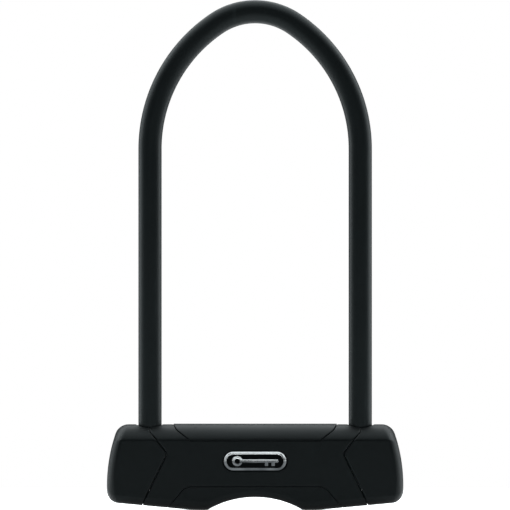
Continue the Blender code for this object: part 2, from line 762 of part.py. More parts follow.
def key_pictogram():
    """A plain key lying on its side: a round bow, a shaft and two bits."""
    centre = (KEY_BOW_R - KEY_HALF_LENGTH, BADGE_Z)
    meet = math.degrees(math.asin(KEY_SHAFT_HALF / KEY_BOW_R))
    low, high = BADGE_Z - KEY_SHAFT_HALF, BADGE_Z + KEY_SHAFT_HALF
    bow = arc(centre, KEY_BOW_R, meet, 360 - meet, 24)
    teeth = []
    for i in (4, 2):
        start = KEY_HALF_LENGTH - i * KEY_BIT
        end = start + KEY_BIT
        teeth += [(start, low), (start, low - KEY_BIT), (end, low - KEY_BIT), (end, low)]
    tip = [(KEY_HALF_LENGTH, low), (KEY_HALF_LENGTH, high)]
    return [bow + teeth + tip, arc(centre, KEY_BOW_R / 2, 0, 345, 23)]


def make_badge():
    floor = -HALF_DEPTH + POCKET_DEEP
    front = -HALF_DEPTH - PANEL_PROUD
    plate_y = (floor - 2 * GAP, floor - GAP)
    trim_y = (front, plate_y[0] - GAP)
    gap_size = [size - 2 * GAP for size in POCKET_SIZE]
    inner_size = [size - 2 * RING_WIDTH for size in BADGE_SIZE]
    plate = prism("plate", [stadium(*gap_size, BADGE_Z)], *plate_y)
    ring = prism("ring", [stadium(*BADGE_SIZE, BADGE_Z), stadium(*inner_size, BADGE_Z)], *trim_y)
    finished(plate, "badge_plate", "carrier plastic")
    finished(ring, "badge_ring", "chrome")
    finished(prism("key", key_pictogram(), *trim_y), "badge_key_emblem", "chrome")


# ---------------------------------------------------------------- the lock

def main():
    make_shackle()
    make_cover()
    make_dust_cover()
    make_body()
    for name, side in SIDES.items():
        make_socket(name, side)
        make_carrier(name, side)
        make_bolt(name, side)
    turn = axis_empty("cylinder_axis", (0, 0, HOUSING_Z[0]))
    make_housing()
    make_barrel(turn)
    make_discs(turn)
    make_cam(turn)
    make_ring_and_pin()
    make_badge()


clear_scene()
LOCK = new_collection("u_lock")
CUTTERS = new_collection("cutters")
CUTTERS.hide_render = True
MATERIALS = {
    "cover plastic": new_material("cover plastic", (0.008, 0.009, 0.010), 0.45),
    "soft coating": new_material("soft coating", (0.009, 0.010, 0.011), 0.50),
    "carrier plastic": new_material("carrier plastic", (0.02, 0.02, 0.022), 0.6),
    "hardened steel": new_material("hardened steel", (0.45, 0.45, 0.46), 0.35, 1.0),
    "body steel": new_material("body steel", (0.32, 0.33, 0.34), 0.45, 1.0),
    "bright steel": new_material("bright steel", (0.60, 0.60, 0.61), 0.25, 1.0),
    "brass": new_material("brass", (0.70, 0.50, 0.20), 0.35, 1.0),
    "chrome": new_material("chrome", (0.80, 0.81, 0.82), 0.08, 1.0),
}
main()
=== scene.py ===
"""Looks of the U lock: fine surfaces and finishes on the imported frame. Lengths are metres."""
import json
import math

import bpy
import numpy as np
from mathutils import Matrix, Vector


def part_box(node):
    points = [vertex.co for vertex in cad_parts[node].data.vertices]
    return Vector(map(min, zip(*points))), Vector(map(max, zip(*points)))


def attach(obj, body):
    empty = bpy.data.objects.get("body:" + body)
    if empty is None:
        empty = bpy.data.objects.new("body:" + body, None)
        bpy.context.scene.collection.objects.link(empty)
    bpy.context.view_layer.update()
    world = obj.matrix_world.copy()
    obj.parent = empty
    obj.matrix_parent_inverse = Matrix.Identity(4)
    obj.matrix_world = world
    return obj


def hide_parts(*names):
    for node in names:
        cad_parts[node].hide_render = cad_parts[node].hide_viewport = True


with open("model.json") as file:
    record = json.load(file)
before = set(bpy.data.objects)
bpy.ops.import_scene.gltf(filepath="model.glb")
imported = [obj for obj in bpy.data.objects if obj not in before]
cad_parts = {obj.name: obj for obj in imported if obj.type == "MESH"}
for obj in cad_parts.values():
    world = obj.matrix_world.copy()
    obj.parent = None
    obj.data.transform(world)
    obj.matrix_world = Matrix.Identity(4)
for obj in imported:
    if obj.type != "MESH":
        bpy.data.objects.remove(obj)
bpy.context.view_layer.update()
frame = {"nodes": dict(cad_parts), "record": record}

MM = 0.001
WELD = 0.0005 * MM          # points nearer than this are one
SEAM_GAP = 0.06 * MM        # half of the gap between two cover pieces
WALL = 2.1 * MM             # thickness of the cover

# Crossbar cover, the same form as the frame's
TOP_Z = 49.3 * MM
HALF_DEPTH = 15.5 * MM
END_R = 94 * MM
END_X = 85.25 * MM
END_Z = 14 * MM
TOP_CORNER_R = 8 * MM
LOW_CORNER_R = 7.2 * MM
LAND_X = 33.6 * MM
LAND_BLEND_R = 30 * MM
RISE = math.radians(5.26)
ARCH_R = 54 * MM
ARCH_TOP_Z = 7.5 * MM
ARCH_CORNER_R = 5 * MM
EDGE_R = 6.9 * MM            # the lower edge is an arc that leaves the face at a crease
EDGE_CREASE = math.radians(22)
ARCH_EDGE_R = 5.2 * MM
END_EDGE_R = 8.8 * MM
END_CREASE = math.radians(31)
CROWN_R = 17.75 * MM         # the top is one arc over the whole depth
CREASE_R = 2.2 * MM          # where the arc turns into the flat face
PANEL_PROUD = 0.35 * MM
CAP_MIDDLE_Z = 24 * MM

# Seams, as height and distance from the middle plane
CAP_SEAM = ((2.0, 65.0), (7.7, 62.9), (32.9, 50.6), (45.2, 60.5), (60.0, 60.5))
TOP_SEAM = ((40.1, 37.5), (46.1, 45.2), (50.0, 47.5))
LOW_SEAM = ((-0.1, 51.5), (12.3, 41.1), (13.7, 37.6))
TOP_SEAM_Z = 40.1 * MM
LOW_SEAM_Z = 13.7 * MM
SEAM_SLANT = 1.25           # a sideways step this many times the gap keeps the gap on a slant
SOFT_ROUND = 0.75 * MM      # rounding of the cap seam's edges
TRIM_ROUND = 0.45 * MM
CRISP_ROUND = 0.30 * MM
KINK_ROUND = 1.5 * MM       # half of the height over which the cap seam's kink turns
KINK_TOP_Z = 38 * MM        # the seam is sharp again above this
KINK_FADE = 2 * MM
HOLE_BLEND = 3.5 * MM       # how far round a leg's hole the surface turns upright

# Shackle
LEG_X = 60.5 * MM
SPRING_Z = 207.8 * MM
FLANK_R = 87 * MM
APEX_R = 39.6 * MM
COAT_R = 6.7 * MM
BORE_R = 6.05 * MM
CORE_R = 5.8 * MM
SLEEVE_HOLE_R = 7.05 * MM
CAP_HOLE_R = 7.7 * MM
NOTCH_X = 58.4 * MM
NOTCH_Z = (30.4 * MM, 37.6 * MM)
FOOT_CHAMFER = 1.2 * MM
LIP_R = (COAT_R - BORE_R) / 2

# Webs inside the cover, badge and its key
BACKING_X = (39 * MM, 69 * MM)
BACKING_TOP_Z = 11.3 * MM
BACKING_HALF_Y = 0.5 * MM
BACKING_GAP = 0.4 * MM
BADGE_Z = 28.3 * MM
POCKET = (38 * MM, 12.8 * MM)
POCKET_DEEP = 1.2 * MM
POCKET_LIP = 0.35 * MM
PLATE = (37.4 * MM, 12.2 * MM)
PLATE_REACH = (-14.88 * MM, -14.6 * MM)
BADGE_RING = (35.8 * MM, 10.7 * MM)
RING_WIDTH = 1.5 * MM
BADGE_FRONT = 15.85 * MM
BADGE_BACK = 14.95 * MM
BADGE_FALL = 0.85 * MM      # how far the badge's top and bottom lie behind its middle
BADGE_REACH = (-17 * MM, -14.95 * MM)
KEY_HALF = 13.2 * MM
KEY_BOW_R = 2.95 * MM
KEY_SHAFT = 0.9 * MM
KEY_BIT = 1.9 * MM

# Key window and dust cover, whose spans are degrees round the arch's axis
WINDOW_R = 6 * MM
WINDOW_REACH = (0, 12 * MM)
COVER_R = (56.6 * MM, 57.5 * MM)
COVER_SPAN = (-6.6, 10.6)
COVER_TURN = 13
COVER_HALF_Y = 7.6 * MM
NUB_ANGLE = 8.7
NUB_R = 1.1 * MM
NUB_LOW_R = 54.2 * MM
NUB_HALF = NUB_R + 0.3 * MM
SLOT_X = math.sin(math.radians(NUB_ANGLE + COVER_TURN)) * COVER_R[0] + NUB_HALF


# ---------------------------------------------------------------- form of the cover

def crown_table(count=300):
    """Arc length, depth and height down the crown: a wide arc from the ridge, then a small one
    that is tangent to it and to the flat face."""
    middle = TOP_Z - CROWN_R
    crease_y = HALF_DEPTH - CREASE_R
    crease_z = middle + math.sqrt((CROWN_R - CREASE_R) ** 2 - crease_y ** 2)
    meet = math.atan2(crease_y, crease_z - middle)
    wide = np.linspace(0, meet, count)
    tight = np.linspace(meet, np.pi / 2, count)[1:]
    y = np.concatenate([CROWN_R * np.sin(wide), crease_y + CREASE_R * np.sin(tight)])
    z = np.concatenate([middle + CROWN_R * np.cos(wide), crease_z + CREASE_R * np.cos(tight)])
    return np.concatenate([CROWN_R * wide, CROWN_R * meet + CREASE_R * (tight - meet)]), y, z


CROWN_S, CROWN_Y, CROWN_H = crown_table()
CROWN_LENGTH = CROWN_S[-1]
CROWN_Z = CROWN_H[-1]
ARCH_LOW = ARCH_TOP_Z - ARCH_R
CORNER_X = math.sqrt((ARCH_R + ARCH_CORNER_R) ** 2 - (ARCH_CORNER_R - ARCH_LOW) ** 2)
BLEND_X = LAND_X + LAND_BLEND_R * math.sin(RISE)


def underside(x):
    """Height of the underside: arch, round corner, flat land, blend and a rising line."""
    x = np.abs(x)
    arch = ARCH_LOW + np.sqrt(np.maximum(ARCH_R ** 2 - x ** 2, 0))
    corner = ARCH_CORNER_R - np.sqrt(np.maximum(ARCH_CORNER_R ** 2 - (x - CORNER_X) ** 2, 0))
    blend = LAND_BLEND_R - np.sqrt(np.maximum(LAND_BLEND_R ** 2 - (x - LAND_X) ** 2, 0))
    line = LAND_BLEND_R * (1 - math.cos(RISE)) + (x - BLEND_X) * math.tan(RISE)
    arch_end = CORNER_X * ARCH_R / (ARCH_R + ARCH_CORNER_R)
    return np.select([x < arch_end, x < CORNER_X, x < LAND_X, x < BLEND_X],
                     [arch, corner, 0 * x, blend], line)


def edge_radius(x):
    """Radius of the lower front edge: tighter in the arch than outside it."""
    t = np.clip((np.abs(x) - 0.6 * CORNER_X) / (0.6 * CORNER_X), 0, 1)
    return ARCH_EDGE_R + (EDGE_R - ARCH_EDGE_R) * t * t * (3 - 2 * t)


def section_knots(x):
    """Arc lengths from the ridge at which the lower edge starts and ends and the section closes."""
    radius = edge_radius(x)
    start = CROWN_LENGTH + CROWN_Z - underside(x) - radius * (1 - math.sin(EDGE_CREASE))
    end = start + (np.pi / 2 - EDGE_CREASE) * radius
    return start, end, end + HALF_DEPTH - radius * math.cos(EDGE_CREASE)


def section(x, s):
    """Depth towards the front and height at arc length s: crown, flat face, lower edge, base."""
    radius = edge_radius(x)
    low = underside(x)
    start, end, _ = section_knots(x)
    middle_y = HALF_DEPTH - radius * math.cos(EDGE_CREASE)
    angle = np.clip(EDGE_CREASE + (s - start) / radius, EDGE_CREASE, np.pi / 2)
    y = np.select([s < CROWN_LENGTH, s < start, s < end],
                  [np.interp(s, CROWN_S, CROWN_Y), HALF_DEPTH + 0 * s,
                   middle_y + radius * np.cos(angle)], middle_y - (s - end))
    z = np.select([s < CROWN_LENGTH, s < start, s < end],
                  [np.interp(s, CROWN_S, CROWN_H), CROWN_Z - (s - CROWN_LENGTH),
                   low + radius - radius * np.sin(angle)], low)
    return np.maximum(y, 0), z


def surface(x, s, back):
    """Points of the cover's form: back is 1 on the back half and -1 on the front half."""
    y, z = section(x, s)
    return np.stack([x, y * back, z], axis=-1)


def length_at(z):
    """Arc length from the ridge to a height on the crown or the flat face."""
    on_crown = np.interp(-z, -CROWN_H, CROWN_S)
    return np.where(z > CROWN_Z, on_crown, CROWN_LENGTH + CROWN_Z - z)


def seam_x(seam, z, away=0.0):
    """Distance of a seam from the middle plane at a height, moved sideways by a gap."""
    heights, places = np.array(seam).T * MM
    return np.interp(z, heights, places) + away * SEAM_GAP * SEAM_SLANT


def cap_seam_x(z, away):
    """The cap's seam with its kink made round by averaging over a few millimetres."""
    spread = np.linspace(-1, 1, 9) * KINK_ROUND
    shift = np.asarray(z)[..., None] + spread
    calm = np.mean(seam_x(CAP_SEAM, shift, away), axis=-1)
    sharp = seam_x(CAP_SEAM, z, away)
    near = np.clip((KINK_TOP_Z - np.asarray(z)) / KINK_FADE, 0, 1)
    return sharp + (calm - sharp) * near


# ---------------------------------------------------------------- mesh building

def eased(count):
    """Values from 0 to 1, close together at both ends: half a cosine wave."""
    return (1 - np.cos(np.linspace(0, np.pi, count + 1))) / 2


def grid_normals(points, wrap=False):
    """Unit normals of a grid, from the cross product of its two differences."""
    if wrap:
        padded = np.concatenate([points[-1:], points, points[:1]])
        down = (padded[2:] - padded[:-2]) / 2
    else:
        down = np.gradient(points, axis=0)
    across = np.gradient(points, axis=1)
    normal = np.cross(down, across)
    size = np.linalg.norm(normal, axis=-1, keepdims=True)
    return normal / np.maximum(size, 1e-15)


def grid_faces(rows, columns, wrap=False):
    """Corner numbers of a grid's quads, rows joined end to end if wrap is set."""
    index = np.arange(rows * columns).reshape(rows, columns)
    if wrap:
        index = np.concatenate([index, index[:1]])
    return np.stack([index[:-1, :-1], index[1:, :-1], index[1:, 1:], index[:-1, 1:]],
                    axis=-1).reshape(-1, 4)


def distance_to(points, line):
    """Shortest distance in the plane from each point to an open line of points."""
    flat = points.reshape(-1, 1, 2)
    start, step = line[:-1], np.diff(line, axis=0)
    along = np.sum((flat - start) * step, axis=-1) / np.maximum(np.sum(step ** 2, axis=-1), 1e-18)
    foot = start + np.clip(along, 0, 1)[..., None] * step
    return np.min(np.linalg.norm(flat - foot, axis=-1), axis=1).reshape(points.shape[:-1])


def rolled(distance, radius):
    """Depth below the surface near an edge that is rounded with a radius."""
    inside = np.clip(radius - distance, 0, radius)
    return radius - np.sqrt(radius ** 2 - inside ** 2)


def make_object(name, points, faces, material, angle=50):
    """A mesh object with smooth shading, sharp only where faces turn by more than an angle."""
    mesh = bpy.data.meshes.new(name)
    mesh.from_pydata(points.tolist(), [], [list(face) for face in faces])
    mesh.validate()
    mesh.shade_smooth()
    mesh.set_sharp_from_angle(angle=math.radians(angle))
    if material:
        mesh.materials.append(material)
    obj = bpy.data.objects.new(name, mesh)
    bpy.context.scene.collection.objects.link(obj)
    return obj


def merged(base, faces):
    """Group points that share a place: the group of each point, and faces without repeats."""
    _, same = np.unique(np.round(base / WELD).astype(np.int64), axis=0, return_inverse=True)
    same = same.ravel()
    kept = []
    for face in same[faces].tolist():
        ring = [v for k, v in enumerate(face) if v != face[k - 1]]
        if len(ring) > 2:
            kept.append(ring)
    return same, kept


def group_mean(same, values):
    """Mean of the values in each group."""
    share = np.bincount(same)[:, None]
    return np.stack([np.bincount(same, values[:, k]) for k in range(3)], axis=-1) / share


def shell_mesh(blocks):
    """A closed wall from grids: each is (surface, outward, drop, wrap), welded where they meet.

    The outer skin lies drop below the surface, the inner skin one wall below it, and the open
    edges of the two are joined.
    """
    base, outer, inner, faces, count = [], [], [], [], 0
    for points, outward, drop, wrap in blocks:
        corners = grid_faces(*points.shape[:2], wrap) + count
        turned = np.sum(grid_normals(points, wrap) * outward) < 0
        faces.append(corners[:, ::-1] if turned else corners)
        deep = np.maximum(WALL, drop + WALL / 5)
        base.append(points.reshape(-1, 3))
        outer.append((points - outward * drop[..., None]).reshape(-1, 3))
        inner.append((points - outward * deep[..., None]).reshape(-1, 3))
        count += drop.size
    same, skin = merged(np.concatenate(base), np.concatenate(faces))
    outer = group_mean(same, np.concatenate(outer))
    inner = group_mean(same, np.concatenate(inner))
    size = len(outer)
    edges = {(ring[k - 1], v) for ring in skin for k, v in enumerate(ring)}
    walls = [[b, a, a + size, b + size] for a, b in edges if (b, a) not in edges]
    inside = [[v + size for v in reversed(ring)] for ring in skin]
    return np.concatenate([outer, inner]), skin + inside + walls


def skin_mesh(points, wrap=False):
    """A mesh from one grid, with points that share a place made one."""
    same, faces = merged(points.reshape(-1, 3), grid_faces(*points.shape[:2], wrap))
    return group_mean(same, points.reshape(-1, 3)), faces


# ---------------------------------------------------------------- rows round the section

ROWS_BITE = 14              # beside the leg's hole
ROWS_CROWN = 22             # from there to the upper seam
ROWS_FACE = 44              # between the level seams
ROWS_LOW = 14               # from the lower seam to the lower edge
ROWS_EDGE = 9
ROWS_BASE = 12
COLUMNS_WING = 34
COLUMNS_CAP = 24
COLUMNS_CORNER = 16         # round a cap's corner, and as many again to the middle of its end
COLUMNS_FRONT = 60
COLUMNS_BACK = 59
COLUMNS_TOP = 110
COLUMNS_LOW = 150
RINGS_POCKET = 22
FACE_S = length_at(TOP_SEAM_Z - SEAM_GAP) + eased(ROWS_FACE) * (
    length_at(LOW_SEAM_Z + SEAM_GAP) - length_at(TOP_SEAM_Z - SEAM_GAP))
FACE_Y, FACE_Z = section(np.full_like(FACE_S, LEG_X), FACE_S)


def rows_to_seam(hole_r, last_z):
    """Arc lengths from the ridge down the crown: round the leg's hole first, then even."""
    across = hole_r * np.sin(np.linspace(0, np.pi / 2, ROWS_BITE + 1))
    bite = np.interp(across, CROWN_Y, CROWN_S)
    rest = np.linspace(bite[-1], length_at(last_z), ROWS_CROWN + 1)
    return np.concatenate([bite, rest[1:]])


def rows_of(x_at, hole_r):
    """x and arc length of every row of a front half, from the ridge to the middle of the base.

    x_at gives a row's columns from the depths and heights at its two ends. The lower rows
    follow the round edge, which starts lower or higher with the underside, so they are found
    by a few rounds of guessing.
    """
    top = rows_to_seam(hole_r, TOP_SEAM_Z - SEAM_GAP)
    fixed = np.concatenate([top, FACE_S[1:]])
    y, z = section(np.full_like(fixed, LEG_X), fixed)
    x = list(x_at(y, z, y, z))
    s = [np.full(len(x[0]), one) for one in fixed]
    for knot, count in ((0, ROWS_LOW), (1, ROWS_EDGE), (2, ROWS_BASE)):
        begin, guess = s[-1], x[-1]
        for i in range(1, count + 1):
            for _ in range(5):
                row_s = begin + (section_knots(guess)[knot] - begin) * i / count
                row_y, row_z = section(guess, row_s)
                guess = x_at(row_y[:1], row_z[:1], row_y[-1:], row_z[-1:])[0]
            x.append(guess)
            s.append(row_s)
    return np.array(x), np.array(s)


def both_halves(x, s):
    """Surface points of the front rows followed by the back rows in reverse: a closed loop."""
    front = surface(x, s, -1)
    back = surface(x, s, 1)[::-1]
    return np.concatenate([front, back[1:-1]])


def loop_values(values):
    """Front values followed by the same for the back rows."""
    return np.concatenate([values, values[::-1][1:-1]])


def bitten(x, y, z, hole_r, inner):
    """Distances from the middle plane with the leg's hole bitten out of the crown's seam line."""
    chord = np.sqrt(np.maximum(hole_r ** 2 - y ** 2, 0))
    cut = LEG_X - chord if inner else LEG_X + chord
    holed = (y < hole_r) & (z > CROWN_Z)
    return np.where(holed, np.minimum(x, cut) if inner else np.maximum(x, cut), x)


def near_hole(points, normal, side, hole_r):
    """Normals turned upright round the leg's hole, so that its wall drops straight down."""
    reach = np.hypot(points[..., 0] - side * LEG_X, points[..., 1])
    weight = np.clip(1 - (reach - hole_r) / HOLE_BLEND, 0, 1) * (points[..., 2] > CROWN_Z)
    turned = normal * (1 - weight[..., None]) + np.array([0, 0, 1]) * weight[..., None]
    return turned / np.linalg.norm(turned, axis=-1, keepdims=True)


def outward_normals(points, wrap):
    """Grid normals that point away from the crossbar's long axis."""
    normal = grid_normals(points, wrap)
    away = points - np.array([0, 0, CAP_MIDDLE_Z])
    ways = np.sum(normal * away * np.array([0.2, 1, 1]))
    return -normal if ways < 0 else normal


# ---------------------------------------------------------------- cover pieces

def wing(side):
    """The sleeve's part beside the panels: rows round the section, columns between two seams."""
    spread = eased(COLUMNS_WING)

    def x_at(y0, z0, y1, z1):
        high = seam_x(TOP_SEAM, z0, 1)
        start = np.where(z0 < LOW_SEAM_Z, seam_x(LOW_SEAM, z0, 1), high)
        end = bitten(cap_seam_x(z1, -1), y1, z1, SLEEVE_HOLE_R, True)
        return start[:, None] + (end - start)[:, None] * spread

    x, s = rows_of(x_at, SLEEVE_HOLE_R)
    plane = np.stack([x, s], axis=-1)
    top_rows = ROWS_BITE + ROWS_CROWN + 1
    face_rows = top_rows + ROWS_FACE
    cap_side = rolled(distance_to(plane, plane[:, -1]), SOFT_ROUND)
    top_side = rolled(distance_to(plane, plane[:top_rows, 0]), TRIM_ROUND)
    low_side = rolled(distance_to(plane, plane[face_rows - 1:, 0]), CRISP_ROUND)
    drop = loop_values(np.maximum(np.maximum(cap_side, top_side), low_side))
    points = both_halves(x, s)
    points[..., 0] *= side
    normal = near_hole(points, outward_normals(points, True), side, SLEEVE_HOLE_R)
    return points, normal, drop, True


def face_depth(z):
    """Depth of the flat face, which turns back a little under its upper seam."""
    return np.interp(-z, -FACE_Z, FACE_Y)


MIDDLE_X = float(seam_x(TOP_SEAM, TOP_SEAM_Z, 1))


def edge_drop(z):
    """Drop of the middle's face along the two level seams."""
    top = rolled(TOP_SEAM_Z - SEAM_GAP - z, TRIM_ROUND)
    low = rolled(z - LOW_SEAM_Z - SEAM_GAP, CRISP_ROUND)
    return np.maximum(top, low)


def back_middle():
    """Plain face between the level seams at the back."""
    z = FACE_Z[:, None]
    x = np.linspace(-MIDDLE_X, MIDDLE_X, COLUMNS_BACK + 1)[None, :]
    x, z = np.broadcast_arrays(x, z)
    points = np.stack([x, face_depth(z), z], axis=-1)
    normal = np.zeros_like(points)
    normal[..., 1] = 1
    return points, normal, edge_drop(z), False


def stadium_foot(x, z, size):
    """Nearest point of a stadium's middle line, and the way from it to each point."""
    reach = size[0] / 2 - size[1] / 2
    foot = np.stack([np.clip(x, -reach, reach), np.full_like(x, BADGE_Z)], axis=-1)
    way = np.stack([x, z], axis=-1) - foot
    return foot, way / np.maximum(np.linalg.norm(way, axis=-1, keepdims=True), 1e-12)


def front_middle():
    """Face round the badge pocket: rings from the level seams in to the pocket and its floor."""
    width = np.linspace(-MIDDLE_X, MIDDLE_X, COLUMNS_FRONT + 1)
    level = 0 * width
    upright = np.full(ROWS_FACE - 1, MIDDLE_X)
    loop_x = np.concatenate([width, upright, width[::-1], -upright])
    loop_z = np.concatenate([level + FACE_Z[0], FACE_Z[1:-1], level + FACE_Z[-1],
                             FACE_Z[::-1][1:-1]])
    foot, way = stadium_foot(loop_x, loop_z, POCKET)
    rim = foot + way * POCKET[1] / 2
    outer = np.stack([loop_x, loop_z], axis=-1)
    face = [outer + (rim - outer) * t for t in eased(RINGS_POCKET)]
    angles = np.linspace(0, np.pi / 2, 6)[1:]
    roll = [(foot + way * (POCKET[1] / 2 - POCKET_LIP * math.sin(a)),
             POCKET_LIP * (1 - math.cos(a))) for a in angles]
    inner_r = POCKET[1] / 2 - POCKET_LIP
    floor = [(foot + way * inner_r * t, POCKET_DEEP) for t in (1, 0.66, 0.33, 0)]
    rings = [(ring, 0.0) for ring in face] + roll + floor
    plane = np.stack([ring for ring, _ in rings])
    depth = np.array([deep for _, deep in rings])[:, None] + 0 * plane[..., 0]
    points = np.stack([plane[..., 0], depth - face_depth(plane[..., 1]), plane[..., 1]], axis=-1)
    normal = np.zeros_like(points)
    normal[..., 1] = -1
    drop = edge_drop(points[..., 2])
    drop[len(face):] = 0
    return close_ring(points), close_ring(normal), close_ring(drop), False


def close_ring(values):
    """Repeat the first column at the end, so that a ring of columns closes."""
    return np.concatenate([values, values[:, :1]], axis=1)


def top_panel_block():
    """The raised panel from its front edge over the ridge to its back edge."""
    s = length_at(TOP_SEAM_Z + SEAM_GAP) * (1 - np.concatenate([
        eased(24)[:13], np.linspace(0.5, 1, 14)[1:]]))
    _, z = section(0 * s, s)
    x = seam_x(TOP_SEAM, z, -1)[:, None] * (2 * eased(COLUMNS_TOP) - 1)[None, :]
    s = np.broadcast_to(s[:, None], x.shape)
    plane = np.stack([x, s], axis=-1)
    ring = np.concatenate([plane[::-1, 0], plane[0], plane[:, -1]])
    drop = rolled(distance_to(plane, ring), TRIM_ROUND) - PANEL_PROUD
    points = np.concatenate([surface(x, s, -1), surface(x, s, 1)[::-1][1:]])
    return points, outward_normals(points, False), np.concatenate([drop, drop[::-1][1:]]), False


def bottom_panel_block():
    """The lower panel from its front seam under the arch to its back seam.

    Its columns are halfway between even ones and ones that gather at the ends.
    """
    spread = eased(COLUMNS_LOW) - 0.5 + 0.5 * np.linspace(-1, 1, COLUMNS_LOW + 1)
    x = [seam_x(LOW_SEAM, LOW_SEAM_Z - SEAM_GAP, -1) * spread]
    s = [0 * spread + length_at(LOW_SEAM_Z - SEAM_GAP)]
    for knot, ways in ((0, eased(2 * ROWS_LOW)[:ROWS_LOW + 1] * 2),
                       (1, np.linspace(0, 1, ROWS_EDGE + 1)),
                       (2, np.linspace(0, 1, ROWS_BASE + 1))):
        begin = s[-1]
        for t in ways[1:]:
            guess = x[-1]
            for _ in range(4):
                row_s = begin + (section_knots(guess)[knot] - begin) * t
                _, z = section(guess, row_s)
                guess = seam_x(LOW_SEAM, z[-1], -1) * spread
            x.append(guess)
            s.append(row_s)
    x, s = np.array(x), np.array(s)
    plane = np.stack([x, s], axis=-1)
    ring = np.concatenate([plane[::-1, 0], plane[0], plane[:, -1]])
    drop = rolled(distance_to(plane, ring), CRISP_ROUND)
    points = np.concatenate([surface(x, s, -1), surface(x, s, 1)[::-1][1:]])
    return points, outward_normals(points, False), np.concatenate([drop, drop[::-1][1:]]), False


def end_x(z):
    """Distance of the bulging end face from the middle plane at a height."""
    return END_X - END_R + np.sqrt(END_R ** 2 - (z - END_Z) ** 2)


def corner_curves(count_turn, count_face):
    """Top and bottom outlines of a cap's end in the middle plane: a corner arc and the end arc.

    Returns both as (x, z), the share of the depth that is left, and how far the front edge
    stays short of the end face.
    """
    centre_x = END_X - END_R
    face = np.linspace(0, 1, count_face + 1)[1:]
    reach = END_R - TOP_CORNER_R
    top_z = TOP_Z - TOP_CORNER_R
    top_x = centre_x + math.sqrt(reach ** 2 - (top_z - END_Z) ** 2)
    turn = np.linspace(np.pi / 2, math.asin((top_z - END_Z) / reach), count_turn + 1)
    turn_z = top_z + TOP_CORNER_R * np.sin(turn)
    face_z = turn_z[-1] + (CAP_MIDDLE_Z - turn_z[-1]) * face
    top = (np.concatenate([top_x + TOP_CORNER_R * np.cos(turn), end_x(face_z)]),
           np.concatenate([turn_z, face_z]))
    reach = END_R - LOW_CORNER_R
    along = np.array([math.cos(RISE), math.sin(RISE)])
    up = np.array([-along[1], along[0]])
    start = np.array([LAND_X, LAND_BLEND_R]) - up * (LAND_BLEND_R - LOW_CORNER_R)
    offset = start - np.array([centre_x, END_Z])
    middle = offset @ along
    run = -middle + math.sqrt(middle ** 2 - offset @ offset + reach ** 2)
    low_x, low_z = start + along * run
    turn = np.linspace(RISE - np.pi / 2, math.asin((low_z - END_Z) / reach), count_turn + 1)
    turn_z = low_z + LOW_CORNER_R * np.sin(turn)
    face_z = turn_z[-1] + (CAP_MIDDLE_Z - turn_z[-1]) * face
    low = (np.concatenate([low_x + LOW_CORNER_R * np.cos(turn), end_x(face_z)]),
           np.concatenate([turn_z, face_z]))
    sweep = np.linspace(END_CREASE, np.pi / 2, count_turn + 1)
    radius = END_EDGE_R / HALF_DEPTH
    flat = 1 - radius * math.cos(END_CREASE)
    depth = np.concatenate([flat + radius * np.cos(sweep), flat * (1 - face)])
    return top, low, depth, np.concatenate([END_EDGE_R * (1 - np.sin(sweep)), 0 * face])


TOP_CURVE, LOW_CURVE, DEPTH_SHARE, SIDE_SHORT = corner_curves(COLUMNS_CORNER, COLUMNS_CORNER)


def end_points(y0, z0, columns):
    """Points of a cap's end over the corner curves, for rows that start at depth y0, height z0.

    Heights shrink with the top and bottom outlines and depths with the front edge's curve. How
    far a point stays short of the bulging end face is blended from the three curves by how near
    the row is to the top, the bottom or the front.
    """
    top_x, top_z = (line[columns] for line in TOP_CURVE)
    low_x, low_z = (line[columns] for line in LOW_CURVE)
    high = np.clip((z0 - CAP_MIDDLE_Z) / (TOP_Z - CAP_MIDDLE_Z), 0, 1)[:, None]
    deep = np.clip((CAP_MIDDLE_Z - z0) / (CAP_MIDDLE_Z - LOW_CURVE[1][0]), 0, 1.1)[:, None]
    wide = (y0 / HALF_DEPTH)[:, None]
    z = CAP_MIDDLE_Z + high * (top_z - CAP_MIDDLE_Z) - deep * (CAP_MIDDLE_Z - low_z)
    y = y0[:, None] * DEPTH_SHARE[columns]
    above = high ** 4 / (high ** 4 + wide ** 4 + 1e-12)
    below = deep ** 4 / (deep ** 4 + wide ** 4 + 1e-12)
    share = np.where(high > 0, above, below)
    short = np.where(high > 0, end_x(top_z) - top_x, end_x(low_z) - low_x)
    return end_x(z) - share * short - (1 - share) * SIDE_SHORT[columns], y, z


def cap_block(side):
    """An end cap: rows round the section, columns from the seam out to the middle of the end."""
    spread = 1 - np.cos(np.linspace(0, np.pi / 2, COLUMNS_CAP + 1))
    first = slice(0, 1)

    def x_at(y0, z0, y1, z1):
        start = bitten(cap_seam_x(z0, 1), y0, z0, CAP_HOLE_R, False)
        end = end_points(y1, z1, first)[0][:, 0]
        return start[:, None] + (end - start)[:, None] * spread

    x, s = rows_of(x_at, CAP_HOLE_R)
    plane = np.stack([x, s], axis=-1)
    drop = rolled(distance_to(plane, plane[:, 0]), SOFT_ROUND)
    straight = surface(x, s, -1)
    end = np.stack(end_points(-straight[:, -1, 1], straight[:, -1, 2], slice(1, None)), axis=-1)
    end[..., 1] *= -1
    front = np.concatenate([straight, end], axis=1)
    drop = np.concatenate([drop, np.zeros(end.shape[:2])], axis=1)
    points = np.concatenate([front, front[::-1][1:-1] * np.array([1, -1, 1])])
    normal = grid_normals(points, True)
    away = points - np.array([LEG_X, 0, CAP_MIDDLE_Z])
    normal = -normal if np.sum(normal * away) < 0 else normal
    normal[:, -1] = (1, 0, 0)
    points[..., 0] *= side
    normal[..., 0] *= side
    return points, near_hole(points, normal, side, CAP_HOLE_R), loop_values(drop), True


# ---------------------------------------------------------------- shackle

